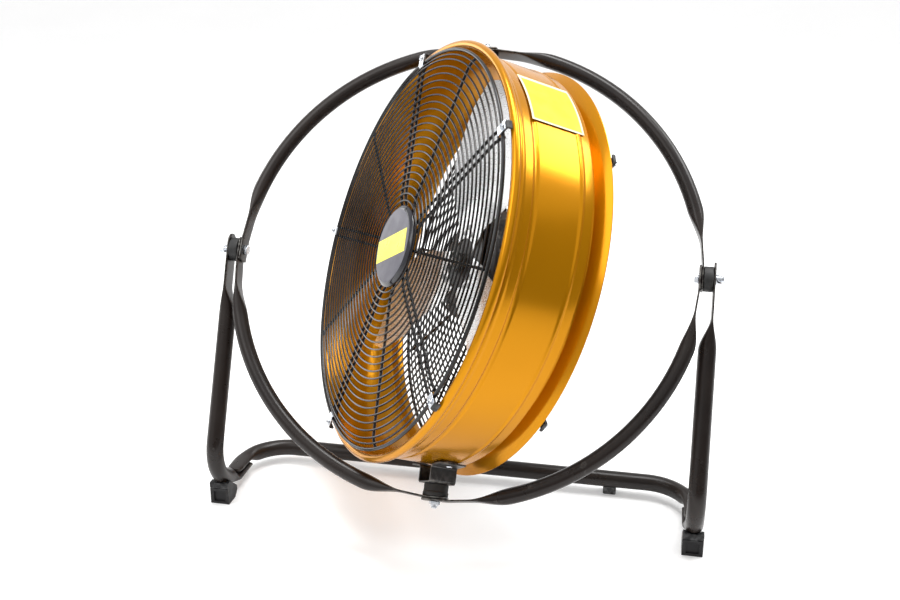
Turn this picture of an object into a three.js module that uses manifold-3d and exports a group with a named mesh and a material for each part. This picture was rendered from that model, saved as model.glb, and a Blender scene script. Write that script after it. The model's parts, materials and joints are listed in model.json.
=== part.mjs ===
// A portable drum fan. A sheet-steel drum with wire guards, a motor and three aluminium
// blades swivels inside a round tube hoop, and the hoop tilts between the two legs of a
// floor stand. Units are millimetres, +Z is up, the front of the stand faces -Y, and the
// stand rests on z = 0.
//
// The drum is built in its own frame: its axis is local Y, its front faces local -Y, and
// local Z is the axis that it swivels about. "Ahead" below is a distance towards the front
// of the drum, so it is minus the local y.

import * as THREE from 'three';
import { mergeVertices } from 'three/addons/utils/BufferGeometryUtils.js';
import Module from 'manifold-3d';

const wasm = await Module();
wasm.setup();

// ---------------------------------------------------------------- driving dimensions

const GAP = 0.3;                    // left between pieces that touch
const DEPTH_SHIFT = 11.82;          // puts the origin under the middle of the whole object

const PIVOT_HEIGHT = 355;           // of the tilt axis above the floor
const TILT = THREE.MathUtils.degToRad(34.6);      // the hoop's top leans back
const SWIVEL = THREE.MathUtils.degToRad(-52.8);   // the drum is turned to the left

const HOOP = { radius: 325, tube: 10.75, flatThick: 1.45, flatWide: 13.5, overlap: 17,
  flatLength: 46, roundFrom: 100, innerFlat: 321.7, outerFlat: 325 };

const LEG = { tube: 12.2, x: 337.3, flatX: 340.9, flatThick: 1.5, flatWide: 15.5,
  flatAbove: 23, flatLength: 50, roundFrom: 95, bendRadius: 54, bendY: -63, bendZ: 80,
  floorEnd: -19, squashHigh: 3.6, squashWide: 14.5 };

const BAR = { tube: 12.2, y: 35, z: 22.8, bendRadius: 66, end: -61, squashHigh: 4.1,
  squashWide: 12, squashZ: 25.5, squashFrom: -17, roundFrom: 8 };
const LEG_BOLT = { y: -44, radius: 3, hole: 3.4, headRadius: 6, headHigh: 4, top: 27 };

const DRUM_SEGMENTS = 40;
const FOOT = { front: -113.5, halfWidth: 14, height: 34, topBack: -103, back: -81,
  backTop: 15, backBottom: 8, soleBack: -90, recessHalf: 8, recessFrom: 5, recessTo: 24,
  recessDeep: 1.2 };

const PAD = { x: 218, width: 19, depth: 19, y: 37.5, height: 22 };

const BOLT = { radius: 4, hole: 4.6, headRadius: 7.4, headHigh: 5.3, nutHigh: 6.5 };
const PIVOT_SPACER_RADIUS = 17;
const SWIVEL_SPACER_RADIUS = 17;
const BRACKET = { halfWidth: 17.5, depth: 38, sheet: 2.2, flangeTo: 42, base: 304.2 };

const DRUM = { bead: 5.7, beadRadius: 283.4, beadAhead: 85.8, barrel: 278.3, inner: 275.5,
  throat: 264, rearLip: 287.3 };
const LABEL = { from: THREE.MathUtils.degToRad(24), to: THREE.MathUtils.degToRad(43),
  radius: 281, thick: 0.4, front: 57, rear: -17 };

const GUARD = { rim: 273, rimWire: 2.5, wire: 1.7, rings: [238, 202, 166, 130, 94],
  spokes: 10, spokeDeep: 3.4, hubPlate: 50, rearHole: 68, plate: 2.4 };
const FRONT_GUARD_AHEAD = { rim: 97.2, edge: 101.5, hub: 104, plate: 100.5 };
const REAR_GUARD_AHEAD = { rim: -51.6, edge: -55.5, hub: -58 };

const BADGE = { radius: 57, back: 100.8, face: 108, faceRadius: 52, bevelFrom: 104.5 };
const CLIPS = 5;
const CLIP = { from: 267, to: 288, halfWidth: 7, sheet: 1.8, screw: 4 };

const MOTOR = { radius: 75, wall: 3, rear: -49.6, rearBell: -43.3, housingFront: -15,
  frontBell: -8.5, frontNose: 4.5, rearNose: 5, nose: 19.5, shaft: 6, bearing: 15,
  bearingWide: 7.5, core: 40, coreFront: -16, coreBack: -39 };
const MOUNT = { radius: 88, bore: 22, front: -49.9, back: -52.9 };

const BLADE = { count: 3, root: 36, tip: 260, ahead: 2.4, sheet: 1.0, rootChord: 30,
  chord: 80, rounding: 14, camber: 6, sweep: -0.08,
  stations: [36, 58, 80, 105, 135, 170, 205, 238, 260], first: THREE.MathUtils.degToRad(70) };
const FAN_HUB = { radius: 56, plate: 3, ahead: 1, boss: 14, bossFront: 12, bossBack: -2.8 };

const CONTROL = { radius: 60, wall: 3, front: -53.2, rear: -70 };
const SWITCH_DEEP = 10;
const KNOB = { radius: 17, front: -70.5, rear: -86, stem: 3 };
const CAPACITOR = { radius: 5.5, x: 38, ahead: -60.2, halfLong: 25 };

// ---------------------------------------------------------------- materials

function material(color, roughness, metalness) {
  return new THREE.MeshStandardMaterial({ color, roughness, metalness });
}

const blackPaint = () => material(0x1b1817, 0.45, 0.2);
const yellowPaint = () => material(0xd99a08, 0.25, 0.2);
const blackPlastic = () => material(0x151415, 0.6, 0);
const wirePaint = () => material(0x1c1a1a, 0.4, 0.3);
const zinc = () => material(0xc8cacc, 0.3, 0.9);
const aluminium = () => material(0xd4d6d8, 0.25, 0.9);
const steel = () => material(0x8d9093, 0.4, 0.9);
const copper = () => material(0x9a5b34, 0.5, 0.6);
const badgePlastic = () => material(0x2c2c34, 0.35, 0);
const labelFilm = () => material(0xf4ec3c, 0.5, 0);

// ---------------------------------------------------------------- solids

// Turns a closed geometry so that its faces point out.
function outward(geometry) {
  const indexed = geometry.index ? geometry : mergeVertices(geometry);
  const p = indexed.attributes.position;
  const index = indexed.index.array;
  const a = new THREE.Vector3();
  const b = new THREE.Vector3();
  const c = new THREE.Vector3();
  let volume = 0;
  for (let i = 0; i < index.length; i += 3) {
    a.fromBufferAttribute(p, index[i]);
    b.fromBufferAttribute(p, index[i + 1]);
    c.fromBufferAttribute(p, index[i + 2]);
    volume += a.dot(b.cross(c));
  }
  if (volume < 0) {
    for (let i = 0; i < index.length; i += 3) {
      [index[i + 1], index[i + 2]] = [index[i + 2], index[i + 1]];
    }
  }
  return indexed;
}

// Keeps only the positions, with shared corners merged and empty triangles dropped.
function clean(geometry) {
  const bare = geometry.clone();
  bare.deleteAttribute('normal');
  bare.deleteAttribute('uv');
  const merged = mergeVertices(bare, 1e-4);
  const index = merged.index.array;
  const kept = [];
  for (let i = 0; i < index.length; i += 3) {
    const [a, b, c] = [index[i], index[i + 1], index[i + 2]];
    if (a !== b && b !== c && c !== a) {
      kept.push(a, b, c);
    }
  }
  merged.setIndex(kept);
  return outward(merged);
}

function toSolid(geometry) {
  const g = clean(geometry);
  const mesh = new wasm.Mesh({
    numProp: 3,
    vertProperties: new Float32Array(g.attributes.position.array),
    triVerts: new Uint32Array(g.index.array),
  });
  return new wasm.Manifold(mesh);
}

function toGeometry(solid) {
  const mesh = solid.getMesh();
  const g = new THREE.BufferGeometry();
  g.setAttribute('position', new THREE.BufferAttribute(new Float32Array(mesh.vertProperties), 3));
  g.setIndex(Array.from(mesh.triVerts));
  return g;
}

function cut(geometry, ...tools) {
  let solid = toSolid(geometry);
  for (const tool of tools) {
    solid = solid.subtract(toSolid(tool));
  }
  return toGeometry(solid);
}

function join(geometry, ...others) {
  let solid = toSolid(geometry);
  for (const other of others) {
    solid = solid.add(toSolid(other));
  }
  return toGeometry(solid);
}

// Triangles that close a ring. They zip between its two halves, so that a thin bent
// section is filled along its own line.
function endTriangles(first, count) {
  const triangles = [];
  for (let low = first, high = first + count - 1; high - low > 1; low += 1, high -= 1) {
    triangles.push([low, low + 1, high]);
    if (high - low > 2) {
      triangles.push([low + 1, high - 1, high]);
    }
  }
  return triangles;
}

// A closed skin through rings of points that all have the same count.
function loft(rings) {
  const count = rings[0].length;
  const points = rings.flat();
  const index = [];
  for (let i = 0; i < rings.length - 1; i += 1) {
    for (let j = 0; j < count; j += 1) {
      const next = (j + 1) % count;
      const a = i * count + j;
      const b = i * count + next;
      index.push(a, b, a + count, b, b + count, a + count);
    }
  }
  for (const [a, b, c] of endTriangles(0, count)) {
    index.push(a, c, b);
  }
  for (const [a, b, c] of endTriangles((rings.length - 1) * count, count)) {
    index.push(a, b, c);
  }
  const g = new THREE.BufferGeometry().setFromPoints(points);
  g.setIndex(index);
  return clean(g);
}

// Points round a section that goes from an ellipse (power 2) to a rounded slab.
function sectionRing(centre, along, across, halfAlong, halfAcross, power, count = 12) {
  const ring = [];
  for (let j = 0; j < count; j += 1) {
    const t = ((j + 0.5) / count) * 2 * Math.PI;
    const c = Math.sign(Math.cos(t)) * Math.abs(Math.cos(t)) ** (2 / power);
    const s = Math.sign(Math.sin(t)) * Math.abs(Math.sin(t)) ** (2 / power);
    ring.push(centre.clone()
      .addScaledVector(along, halfAlong * c)
      .addScaledVector(across, halfAcross * s));
  }
  return ring;
}

// A turned piece about local Y. The profile is a list of [radius, y].
function turned(profile, segments, closed = true) {
  const points = profile.map(([r, y]) => new THREE.Vector2(r, y));
  if (closed) {
    points.push(points[0].clone());
  }
  return clean(new THREE.LatheGeometry(points, segments));
}

// A plain disc or ring about local Y between two y values.
function ringY(outer, inner, y0, y1, segments) {
  if (inner > 0) {
    return turned([[inner, y0], [outer, y0], [outer, y1], [inner, y1]], segments);
  }
  return turned([[0, y0], [outer, y0], [outer, y1], [0, y1]], segments, false);
}

function rod(radius, y0, y1, segments = 10) {
  return ringY(radius, 0, y0, y1, segments);
}

// An outline of [x, z] points made into a slab from y0 to y1.
function slab(outline, y0, y1) {
  const shape = new THREE.Shape(outline.map(([x, z]) => new THREE.Vector2(x, z)));
  const g = new THREE.ExtrudeGeometry(shape, { depth: y1 - y0, bevelEnabled: false });
  g.rotateX(Math.PI / 2);
  g.translate(0, y1, 0);
  return clean(g);
}

// An outline of [y, z] points made into a slab from x0 to x1.
function sideSlab(outline, x0, x1) {
  const g = slab(outline, -x1, -x0);
  g.rotateZ(Math.PI / 2);
  return clean(g);
}

function block(x0, x1, y0, y1, z0, z1) {
  const g = new THREE.BoxGeometry(x1 - x0, y1 - y0, z1 - z0);
  g.translate((x0 + x1) / 2, (y0 + y1) / 2, (z0 + z1) / 2);
  return g;
}

function mirrored(geometry) {
  const g = geometry.clone();
  g.scale(-1, 1, 1);
  return clean(g);
}

function smooth(value, from, to) {
  return THREE.MathUtils.smoothstep(value, from, to);
}

function mix(a, b, t) {
  return THREE.MathUtils.lerp(a, b, t);
}

// ---------------------------------------------------------------- assembly

const fan = new THREE.Group();
fan.position.set(0, DEPTH_SHIFT, 0);

const hoop = new THREE.Group();
hoop.position.set(0, 0, PIVOT_HEIGHT);
hoop.rotation.x = -TILT;
fan.add(hoop);

const drum = new THREE.Group();
drum.rotation.z = SWIVEL;
hoop.add(drum);

function place(parent, name, geometry, finish) {
  const mesh = new THREE.Mesh(clean(geometry), finish);
  mesh.name = name;
  parent.add(mesh);
  return mesh;
}

// ---------------------------------------------------------------- floor stand

// The leg runs from its flattened, rounded top down its slope, round the bend over the
// foot and back along the floor, where its end is squashed low under the cross bar.
function legGeometry() {
  const toBend = new THREE.Vector2(-LEG.bendY, PIVOT_HEIGHT - LEG.bendZ);
  const straight = Math.sqrt(toBend.lengthSq() - LEG.bendRadius ** 2);
  const lean = Math.atan2(toBend.x, toBend.y) + Math.asin(LEG.bendRadius / toBend.length());
  const down = new THREE.Vector3(0, -Math.sin(lean), -Math.cos(lean));
  const turn = Math.PI / 2 + lean;
  const floorZ = LEG.bendZ - LEG.bendRadius;
  const sideways = new THREE.Vector3(1, 0, 0);
  const rings = [];

  function ring(centre, direction, x, halfX, halfN, power) {
    const normal = new THREE.Vector3().crossVectors(direction, sideways).normalize();
    centre.x = x;
    rings.push(sectionRing(centre, sideways, normal, halfX, halfN, power));
  }

  function slopeRing(s) {
    const t = smooth(s, LEG.flatLength, LEG.roundFrom);
    const fromTop = s + LEG.flatAbove;
    const rise = Math.min(fromTop, LEG.flatWide);
    const tip = Math.sqrt(LEG.flatWide ** 2 - (LEG.flatWide - rise) ** 2);
    ring(new THREE.Vector3(0, 0, PIVOT_HEIGHT).addScaledVector(down, s), down,
      mix(LEG.flatX, LEG.x, t), mix(LEG.flatThick, LEG.tube, t), mix(tip, LEG.tube, t),
      mix(5, 2, t));
  }

  for (const drop of [0.4, 2.5, 6, 11, 18]) {
    slopeRing(drop - LEG.flatAbove);
  }
  slopeRing(LEG.flatLength);
  for (const part of [0.3, 0.5, 0.7, 1]) {
    slopeRing(mix(LEG.flatLength, LEG.roundFrom, part));
  }

  const bendSteps = 10;
  for (let i = 0; i <= bendSteps; i += 1) {
    const angle = (i / bendSteps) * turn;
    const heading = lean - angle;
    const direction = new THREE.Vector3(0, -Math.sin(heading), -Math.cos(heading));
    const out = new THREE.Vector3(0, -Math.cos(heading), Math.sin(heading));
    const squash = smooth(angle, turn - 0.3, turn);
    const drop = squash * (LEG.tube - LEG.squashHigh);
    const centre = new THREE.Vector3(0, LEG.bendY, LEG.bendZ)
      .addScaledVector(out, LEG.bendRadius + drop);
    ring(centre, direction, LEG.x, mix(LEG.tube, LEG.squashWide, squash),
      mix(LEG.tube, LEG.squashHigh, squash), mix(2, 3, squash));
  }
  ring(new THREE.Vector3(0, LEG.floorEnd, floorZ - LEG.tube + LEG.squashHigh),
    new THREE.Vector3(0, 1, 0), LEG.x, LEG.squashWide, LEG.squashHigh, 3);
  return loft(rings);
}

// The round bend alone, a little fat, to cut its seat in the foot.
function bendTool() {
  const ring = new THREE.Shape();
  ring.absarc(0, 0, LEG.tube + GAP + 0.6, 0, 2 * Math.PI);
  const path = new THREE.CurvePath();
  const points = [];
  for (let i = 0; i <= 12; i += 1) {
    const angle = mix(-0.3, Math.PI / 2 + 0.2, i / 12);
    points.push(new THREE.Vector3(LEG.x, LEG.bendY - LEG.bendRadius * Math.cos(angle),
      LEG.bendZ - LEG.bendRadius * Math.sin(angle)));
  }
  path.add(new THREE.CatmullRomCurve3(points));
  return new THREE.ExtrudeGeometry(ring, { steps: 12, curveSegments: 6,
    bevelEnabled: false, extrudePath: path.curves[0] });
}

function footGeometry() {
  const side = [[FOOT.front, 0], [FOOT.soleBack, 0], [FOOT.back, FOOT.backBottom],
    [FOOT.back, FOOT.backTop], [FOOT.topBack, FOOT.height], [FOOT.front, FOOT.height]];
  const body = sideSlab(side, LEG.x - FOOT.halfWidth, LEG.x + FOOT.halfWidth);
  const recess = block(LEG.x - FOOT.recessHalf, LEG.x + FOOT.recessHalf,
    FOOT.front - 1, FOOT.front + FOOT.recessDeep, FOOT.recessFrom, FOOT.recessTo);
  return cut(body, bendTool(), recess);
}

function crossbarGeometry() {
  const rings = [];
  const up = new THREE.Vector3(0, 0, 1);
  const corner = LEG.x - BAR.bendRadius;
  const straightTo = BAR.y - BAR.bendRadius;

  function ring(x, y, direction, squash, width) {
    const side = new THREE.Vector3().crossVectors(direction, up).normalize();
    const centre = new THREE.Vector3(x, y, mix(BAR.z, BAR.squashZ, squash));
    rings.push(sectionRing(centre, side, up, width, mix(BAR.tube, BAR.squashHigh, squash),
      mix(2, 3, squash)));
  }

  const half = [];
  for (const tip of [0.4, 3, 7, BAR.squashWide]) {
    const width = Math.sqrt(BAR.squashWide ** 2 - (BAR.squashWide - tip) ** 2);
    half.push([LEG.x, BAR.end + tip, 0, width]);
  }
  const bendSteps = 9;
  for (let i = 0; i <= bendSteps; i += 1) {
    const angle = (i / bendSteps) * (Math.PI / 2);
    half.push([corner + BAR.bendRadius * Math.cos(angle),
      straightTo + BAR.bendRadius * Math.sin(angle), angle, null]);
  }
  const rightHalf = half.map(([x, y, angle, width]) => [x, y, angle, width]);
  const leftHalf = [...half].reverse().map(([x, y, angle, width]) =>
    [-x, y, Math.PI - angle, width]);
  for (const [x, y, angle, width] of [...rightHalf, ...leftHalf]) {
    const squash = 1 - smooth(y, BAR.squashFrom, BAR.roundFrom);
    const direction = new THREE.Vector3(-Math.sin(angle), Math.cos(angle), 0);
    ring(x, y, direction, squash, width ?? mix(BAR.tube, BAR.squashWide, squash));
  }
  return loft(rings);
}

// A rear pad hangs under the cross bar, which sits in its saddle.
function padGeometry() {
  const body = block(PAD.x - PAD.width / 2, PAD.x + PAD.width / 2,
    PAD.y - PAD.depth / 2, PAD.y + PAD.depth / 2, 0, PAD.height);
  const seat = rod(BAR.tube + GAP + 0.2, -PAD.width, PAD.width, 24);
  seat.rotateZ(Math.PI / 2);
  seat.translate(PAD.x, BAR.y, BAR.z);
  return cut(body, seat);
}

// An upright screw that comes up through the leg's squashed end and stops inside the tongue
// of the cross bar, so that nothing shows on top.
function uprightBolt() {
  const seat = LEG.bendZ - LEG.bendRadius - LEG.tube - GAP;
  const head = rod(LEG_BOLT.headRadius, seat - LEG_BOLT.headHigh, seat, 6);
  const bolt = join(head, rod(LEG_BOLT.radius, seat - 1, LEG_BOLT.top, 8));
  bolt.rotateX(Math.PI / 2);
  bolt.translate(LEG.x, LEG_BOLT.y, 0);
  return bolt;
}

function boltHole(x) {
  const hole = rod(LEG_BOLT.hole, 0, LEG_BOLT.top + GAP, 8);
  hole.rotateX(Math.PI / 2);
  hole.translate(x, LEG_BOLT.y, 0);
  return hole;
}

function addStand() {
  const across = rod(BOLT.hole, LEG.flatX - 10, LEG.flatX + 10);
  across.rotateZ(-Math.PI / 2);
  across.translate(0, 0, PIVOT_HEIGHT);
  const leg = cut(legGeometry(), across, boltHole(LEG.x));
  const foot = footGeometry();
  const pad = padGeometry();
  const bolt = uprightBolt();
  for (const [side, flip] of [['right', (g) => g], ['left', mirrored]]) {
    place(fan, `${side}_leg`, flip(leg), blackPaint());
    place(fan, `${side}_foot`, flip(foot), blackPlastic());
    place(fan, `${side}_rear_pad`, flip(pad), blackPlastic());
    place(fan, `${side}_leg_bolt`, flip(bolt), zinc());
  }
  const bar = cut(crossbarGeometry(), boltHole(LEG.x), boltHole(-LEG.x));
  place(fan, 'rear_crossbar', bar, blackPaint());
}

// ---------------------------------------------------------------- hoop and its pivots

// A quarter of the hoop. It runs clockwise, seen from the front, from a flattened end
// that lies inside its neighbour to one that lies outside the next.
function quarterArc() {
  const rings = [];
  const overlap = HOOP.overlap / HOOP.radius;
  const flat = HOOP.flatLength / HOOP.radius;
  const round = HOOP.roundFrom / HOOP.radius;
  const quarter = Math.PI / 2;
  const nearEnd = [-overlap, overlap, flat, mix(flat, round, 0.3), mix(flat, round, 0.5),
    mix(flat, round, 0.7), round];
  const middle = [0.25, 0.5, 0.75].map((part) => mix(round, quarter - round, part));
  const extra = [0.125, 0.375, 0.625, 0.875].map((part) => mix(round, quarter - round, part));
  const farEnd = nearEnd.map((angle) => quarter - angle).reverse();
  const angles = [...nearEnd, ...middle, ...extra, ...farEnd].sort((a, b) => a - b);
  const radial = (angle) => new THREE.Vector3(Math.cos(angle), 0, -Math.sin(angle));
  const forward = (angle) => new THREE.Vector3(-Math.sin(angle), 0, -Math.cos(angle));
  for (const angle of angles) {
    const end = angle < quarter / 2 ? 0 : quarter;
    const toEnd = Math.min(angle, quarter - angle);
    const roundness = smooth(toEnd, flat, round);
    const flatRadius = end === 0 ? HOOP.innerFlat : HOOP.outerFlat;
    const centre = radial(angle).multiplyScalar(mix(flatRadius, HOOP.radius, roundness));
    let outwards = radial(angle);
    if (toEnd < overlap + 0.001) {
      outwards = radial(end);
      centre.copy(outwards).multiplyScalar(flatRadius)
        .addScaledVector(forward(end), (angle - end) * HOOP.radius);
    }
    rings.push(sectionRing(centre, outwards, new THREE.Vector3(0, 1, 0),
      mix(HOOP.flatThick, HOOP.tube, roundness), mix(HOOP.flatWide, HOOP.tube, roundness),
      mix(5, 2, roundness)));
  }
  const startHole = rod(BOLT.hole, HOOP.radius - 15, HOOP.radius + 15);
  startHole.rotateZ(-Math.PI / 2);
  const endHole = startHole.clone();
  endHole.rotateY(quarter);
  return cut(loft(rings), startHole, endHole);
}

function addHoop() {
  const arc = quarterArc();
  const names = ['lower_right', 'lower_left', 'upper_left', 'upper_right'];
  names.forEach((name, i) => {
    const mesh = place(hoop, `hoop_arc_${name}`, arc, blackPaint());
    mesh.rotation.y = i * (Math.PI / 2);
  });
}

// A hexagon bolt along +Y, with its head's underside at y = 0.
function hexBolt(length) {
  return join(rod(BOLT.headRadius, -BOLT.headHigh, 0, 6), rod(BOLT.radius, -1, length));
}

function wingNut() {
  const hub = rod(6.5, 0, 8, 12);
  const wing = slab([[4, -2], [4, 2], [11.5, 1.6], [13, 0], [11.5, -1.6]], 0, 8);
  const upper = slab([[7.5, -1.6], [7.5, 1.6], [13, 1.6], [13, -1.6]], 5, 12);
  const right = join(wing, upper);
  const left = right.clone();
  left.rotateY(Math.PI);
  return cut(join(hub, right, left), rod(BOLT.hole, -1, 14));
}

function addPivots() {
  const flatInside = HOOP.innerFlat - HOOP.flatThick;
  const flatOutside = HOOP.outerFlat + HOOP.flatThick;
  const legInside = LEG.flatX - LEG.flatThick;
  const legOutside = LEG.flatX + LEG.flatThick;
  for (const [name, side] of [['right', 1], ['left', -1]]) {
    const bolt = hexBolt(legOutside + 11 - flatInside);
    bolt.translate(0, flatInside - GAP, 0);
    const nut = wingNut();
    nut.rotateY(THREE.MathUtils.degToRad(side * 35));
    nut.translate(0, legOutside + GAP, 0);
    const spacer = ringY(PIVOT_SPACER_RADIUS, BOLT.hole, flatOutside + GAP, legInside - GAP, 24);
    for (const g of [bolt, nut, spacer]) {
      g.rotateZ(-side * Math.PI / 2);
    }
    spacer.translate(0, 0, PIVOT_HEIGHT);
    place(hoop, `${name}_pivot_bolt`, bolt, zinc());
    place(hoop, `${name}_wing_nut`, nut, zinc());
    place(fan, `${name}_pivot_spacer`, spacer, blackPlastic());
  }
}

// The folded bracket that ties the drum to the hoop, drawn under the drum.
function swivelBracket() {
  const { halfWidth, sheet, flangeTo, base, depth } = BRACKET;
  const right = [[halfWidth, -base], [halfWidth, -282.4], [flangeTo, -279.9],
    [flangeTo - 0.2, -277.8], [halfWidth - sheet, -280.4], [halfWidth - sheet, -base + sheet]];
  const left = right.map(([x, z]) => [-x, z]).reverse();
  const hole = rod(BOLT.hole, -base - 5, -base + 8);
  hole.rotateX(Math.PI / 2);
  return cut(slab([...right, ...left], -depth / 2, depth / 2), hole);
}

function addSwivels() {
  const flatInside = HOOP.innerFlat - HOOP.flatThick;
  const flatOutside = HOOP.outerFlat + HOOP.flatThick;
  const headSeat = BRACKET.base - BRACKET.sheet - GAP;
  for (const [name, turn] of [['lower', 0], ['upper', Math.PI]]) {
    const bracket = swivelBracket();
    const bolt = hexBolt(flatOutside + 9.5 - headSeat);
    bolt.translate(0, headSeat, 0);
    const spacer = ringY(SWIVEL_SPACER_RADIUS, BOLT.hole, BRACKET.base + GAP, flatInside - GAP, 24);
    const nut = ringY(BOLT.headRadius, BOLT.hole, flatOutside + GAP, flatOutside + BOLT.nutHigh, 6);
    for (const g of [bolt, spacer, nut]) {
      g.rotateX(-Math.PI / 2);
      g.rotateY(turn);
    }
    bracket.rotateY(turn);
    place(drum, `${name}_swivel_bracket`, bracket, blackPaint());
    place(hoop, `${name}_swivel_bolt`, bolt, zinc());
    place(hoop, `${name}_swivel_spacer`, spacer, blackPlastic());
    place(hoop, `${name}_swivel_nut`, nut, zinc());
  }
}

// ---------------------------------------------------------------- drum

// The drum's wall, front to rear: a rolled bead, a valley, a small rib, a flat band, a
// shallow groove, the barrel with its rear rib, a deep groove and a flared rear flange.
function drumShell() {
  const bead = [];
  for (let i = 0; i <= 5; i += 1) {
    const angle = mix(-0.45, 1, i / 5) * Math.PI;
    bead.push([DRUM.beadRadius + DRUM.bead * Math.sin(angle),
      DRUM.beadAhead + DRUM.bead * Math.cos(angle)]);
  }
  const b = DRUM.barrel;
  const outside = [[b + 0.9, 78], [b + 2.4, 74.5], [b + 1.2, 71], [b + 1.2, 60],
    [b - 1.4, 58], [b - 1.4, 54], [b, 52], [b, -5.5], [b + 1.7, -8.5], [b, -11.5], [b, -24.5],
    [DRUM.throat, -28.5], [DRUM.throat, -35], [b - 1, -41], [DRUM.rearLip, -46.5]];
  const inside = [[DRUM.rearLip - 1.6, -48], [b - 2.6, -43], [DRUM.throat - 1.5, -37],
    [DRUM.throat - 1.5, -27.5], [DRUM.inner, -23.5], [DRUM.inner, 84]];
  const profile = [...bead, ...outside, ...inside].map(([r, ahead]) => [r, -ahead]);
  return turned(profile, DRUM_SEGMENTS);
}

// A curved film on the drum's upper right.
function label() {
  const rings = [];
  const steps = 5;
  for (let i = 0; i <= steps; i += 1) {
    const angle = mix(LABEL.from, LABEL.to, i / steps);
    const out = new THREE.Vector3(Math.cos(angle), 0, Math.sin(angle));
    const ring = [];
    for (const [r, ahead] of [[0, LABEL.front], [LABEL.thick, LABEL.front],
      [LABEL.thick, LABEL.rear], [0, LABEL.rear]]) {
      ring.push(out.clone().multiplyScalar(LABEL.radius + r).setY(-ahead));
    }
    rings.push(ring);
  }
  return loft(rings);
}

function squareRing(radius, ahead, half, segments = 26) {
  return ringY(radius + half, radius - half, -ahead - half, -ahead + half, segments);
}

// The guard's rings lie on a shallow dome.
function dome(ahead, radius) {
  const part = (GUARD.rings[0] - radius) / (GUARD.rings[0] - GUARD.hubPlate);
  return mix(ahead.edge, ahead.hub, part);
}

// A wire guard. Straight spokes lie behind its rings, and each starts at the points in
// spokeRoot, a list of [radius, ahead]. The side is 1 for the front guard, -1 for the rear.
function guard(ahead, side, spokeRoot, middle) {
  const edge = GUARD.rings[0];
  const nearRow = [...spokeRoot, [edge, dome(ahead, edge) - side * 0.6],
    [GUARD.rim, ahead.rim + side * 1.2]];
  const farRow = nearRow.map(([r, a]) => [r, a - side * GUARD.spokeDeep]).reverse();
  const pieces = GUARD.rings.map((r) => squareRing(r, dome(ahead, r), GUARD.wire));
  pieces.push(middle);
  for (let i = 0; i < GUARD.spokes; i += 1) {
    const spoke = slab([...nearRow, ...farRow], -GUARD.wire, GUARD.wire);
    spoke.rotateX(Math.PI / 2);
    spoke.rotateY((i + 0.5) * (2 * Math.PI / GUARD.spokes));
    pieces.push(spoke);
  }
  return join(squareRing(GUARD.rim, ahead.rim, GUARD.rimWire), ...pieces);
}

function addGuards() {
  const front = FRONT_GUARD_AHEAD;
  const { radius, back, face, faceRadius, bevelFrom } = BADGE;
  const plate = ringY(GUARD.hubPlate, 0, -front.plate, -front.plate + GUARD.plate, 24);
  const underBadge = front.plate - GAP;
  const frontRoot = [[GUARD.hubPlate - 8, underBadge], [radius + 3, underBadge],
    [radius + 11, dome(front, radius + 11) - 0.6]];
  place(drum, 'front_guard', guard(front, 1, frontRoot, plate), wirePaint());
  const rear = REAR_GUARD_AHEAD;
  const collar = ringY(GUARD.rearHole + 6, GUARD.rearHole, -rear.hub - 1.6, -rear.hub + 1.6, 24);
  const rearRoot = [[GUARD.rearHole, dome(rear, GUARD.rearHole) + 0.6]];
  place(drum, 'rear_guard', guard(rear, -1, rearRoot, collar), wirePaint());

  const badge = turned([[0, -back], [radius - 3, -back], [radius, -back - 2],
    [radius, -bevelFrom], [faceRadius, -face], [0, -face]], 40, false);
  place(drum, 'hub_badge', badge, badgePlastic());
}

// A clip is a bent strip over the guard's rim wire that ends on the drum's edge, with the
// head of its screw. It is drawn at the right of the drum and turned into place.
function clip(top, foot) {
  const side = Math.sign(top - foot);
  const strip = slab([[CLIP.from, top], [CLIP.to, top], [CLIP.to, foot],
    [CLIP.to - CLIP.sheet, foot], [CLIP.to - CLIP.sheet, top - side * CLIP.sheet],
    [CLIP.from, top - side * CLIP.sheet]], -CLIP.halfWidth, CLIP.halfWidth);
  strip.rotateX(Math.PI / 2);
  const screw = rod(CLIP.screw, -top - side * 2.5, -top + side * 1, 8);
  screw.translate((CLIP.from + CLIP.to) / 2 + 3, 0, 0);
  return join(strip, screw);
}

function addClips() {
  const front = clip(FRONT_GUARD_AHEAD.rim + GUARD.rimWire + GAP + CLIP.sheet, 92);
  const rear = clip(REAR_GUARD_AHEAD.rim - GUARD.rimWire - GAP - CLIP.sheet, -48.6);
  for (let i = 0; i < CLIPS; i += 1) {
    const angle = Math.PI / 2 - i * (2 * Math.PI / CLIPS);
    const atFront = place(drum, `front_clip_${i + 1}`, front, zinc());
    const atRear = place(drum, `rear_clip_${i + 1}`, rear, zinc());
    atFront.rotation.y = -angle;
    atRear.rotation.y = -angle;
  }
}

// ---------------------------------------------------------------- motor and fan

// A round plate that lies on the rear guard's spokes and carries the motor.
function motorMount() {
  return ringY(MOUNT.radius, MOUNT.bore, -MOUNT.front, -MOUNT.back, 48);
}

// An end bell of the motor: a cup with a nose that holds a bearing. It is drawn with its
// outer face at y = 0, its rim towards +y and its nose towards -y.
function endBell(depth, nose) {
  const { wall, radius } = MOTOR;
  const seat = MOTOR.bearing + GAP;
  const bore = MOTOR.shaft + 1.5;
  return turned([[bore, -nose], [MOTOR.nose, -nose], [MOTOR.nose, 0], [radius - 4, 0],
    [radius, 4], [radius, depth], [radius - wall, depth], [radius - wall, wall],
    [seat, wall], [seat, 2 - nose], [bore, 2 - nose]], 24);
}

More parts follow.
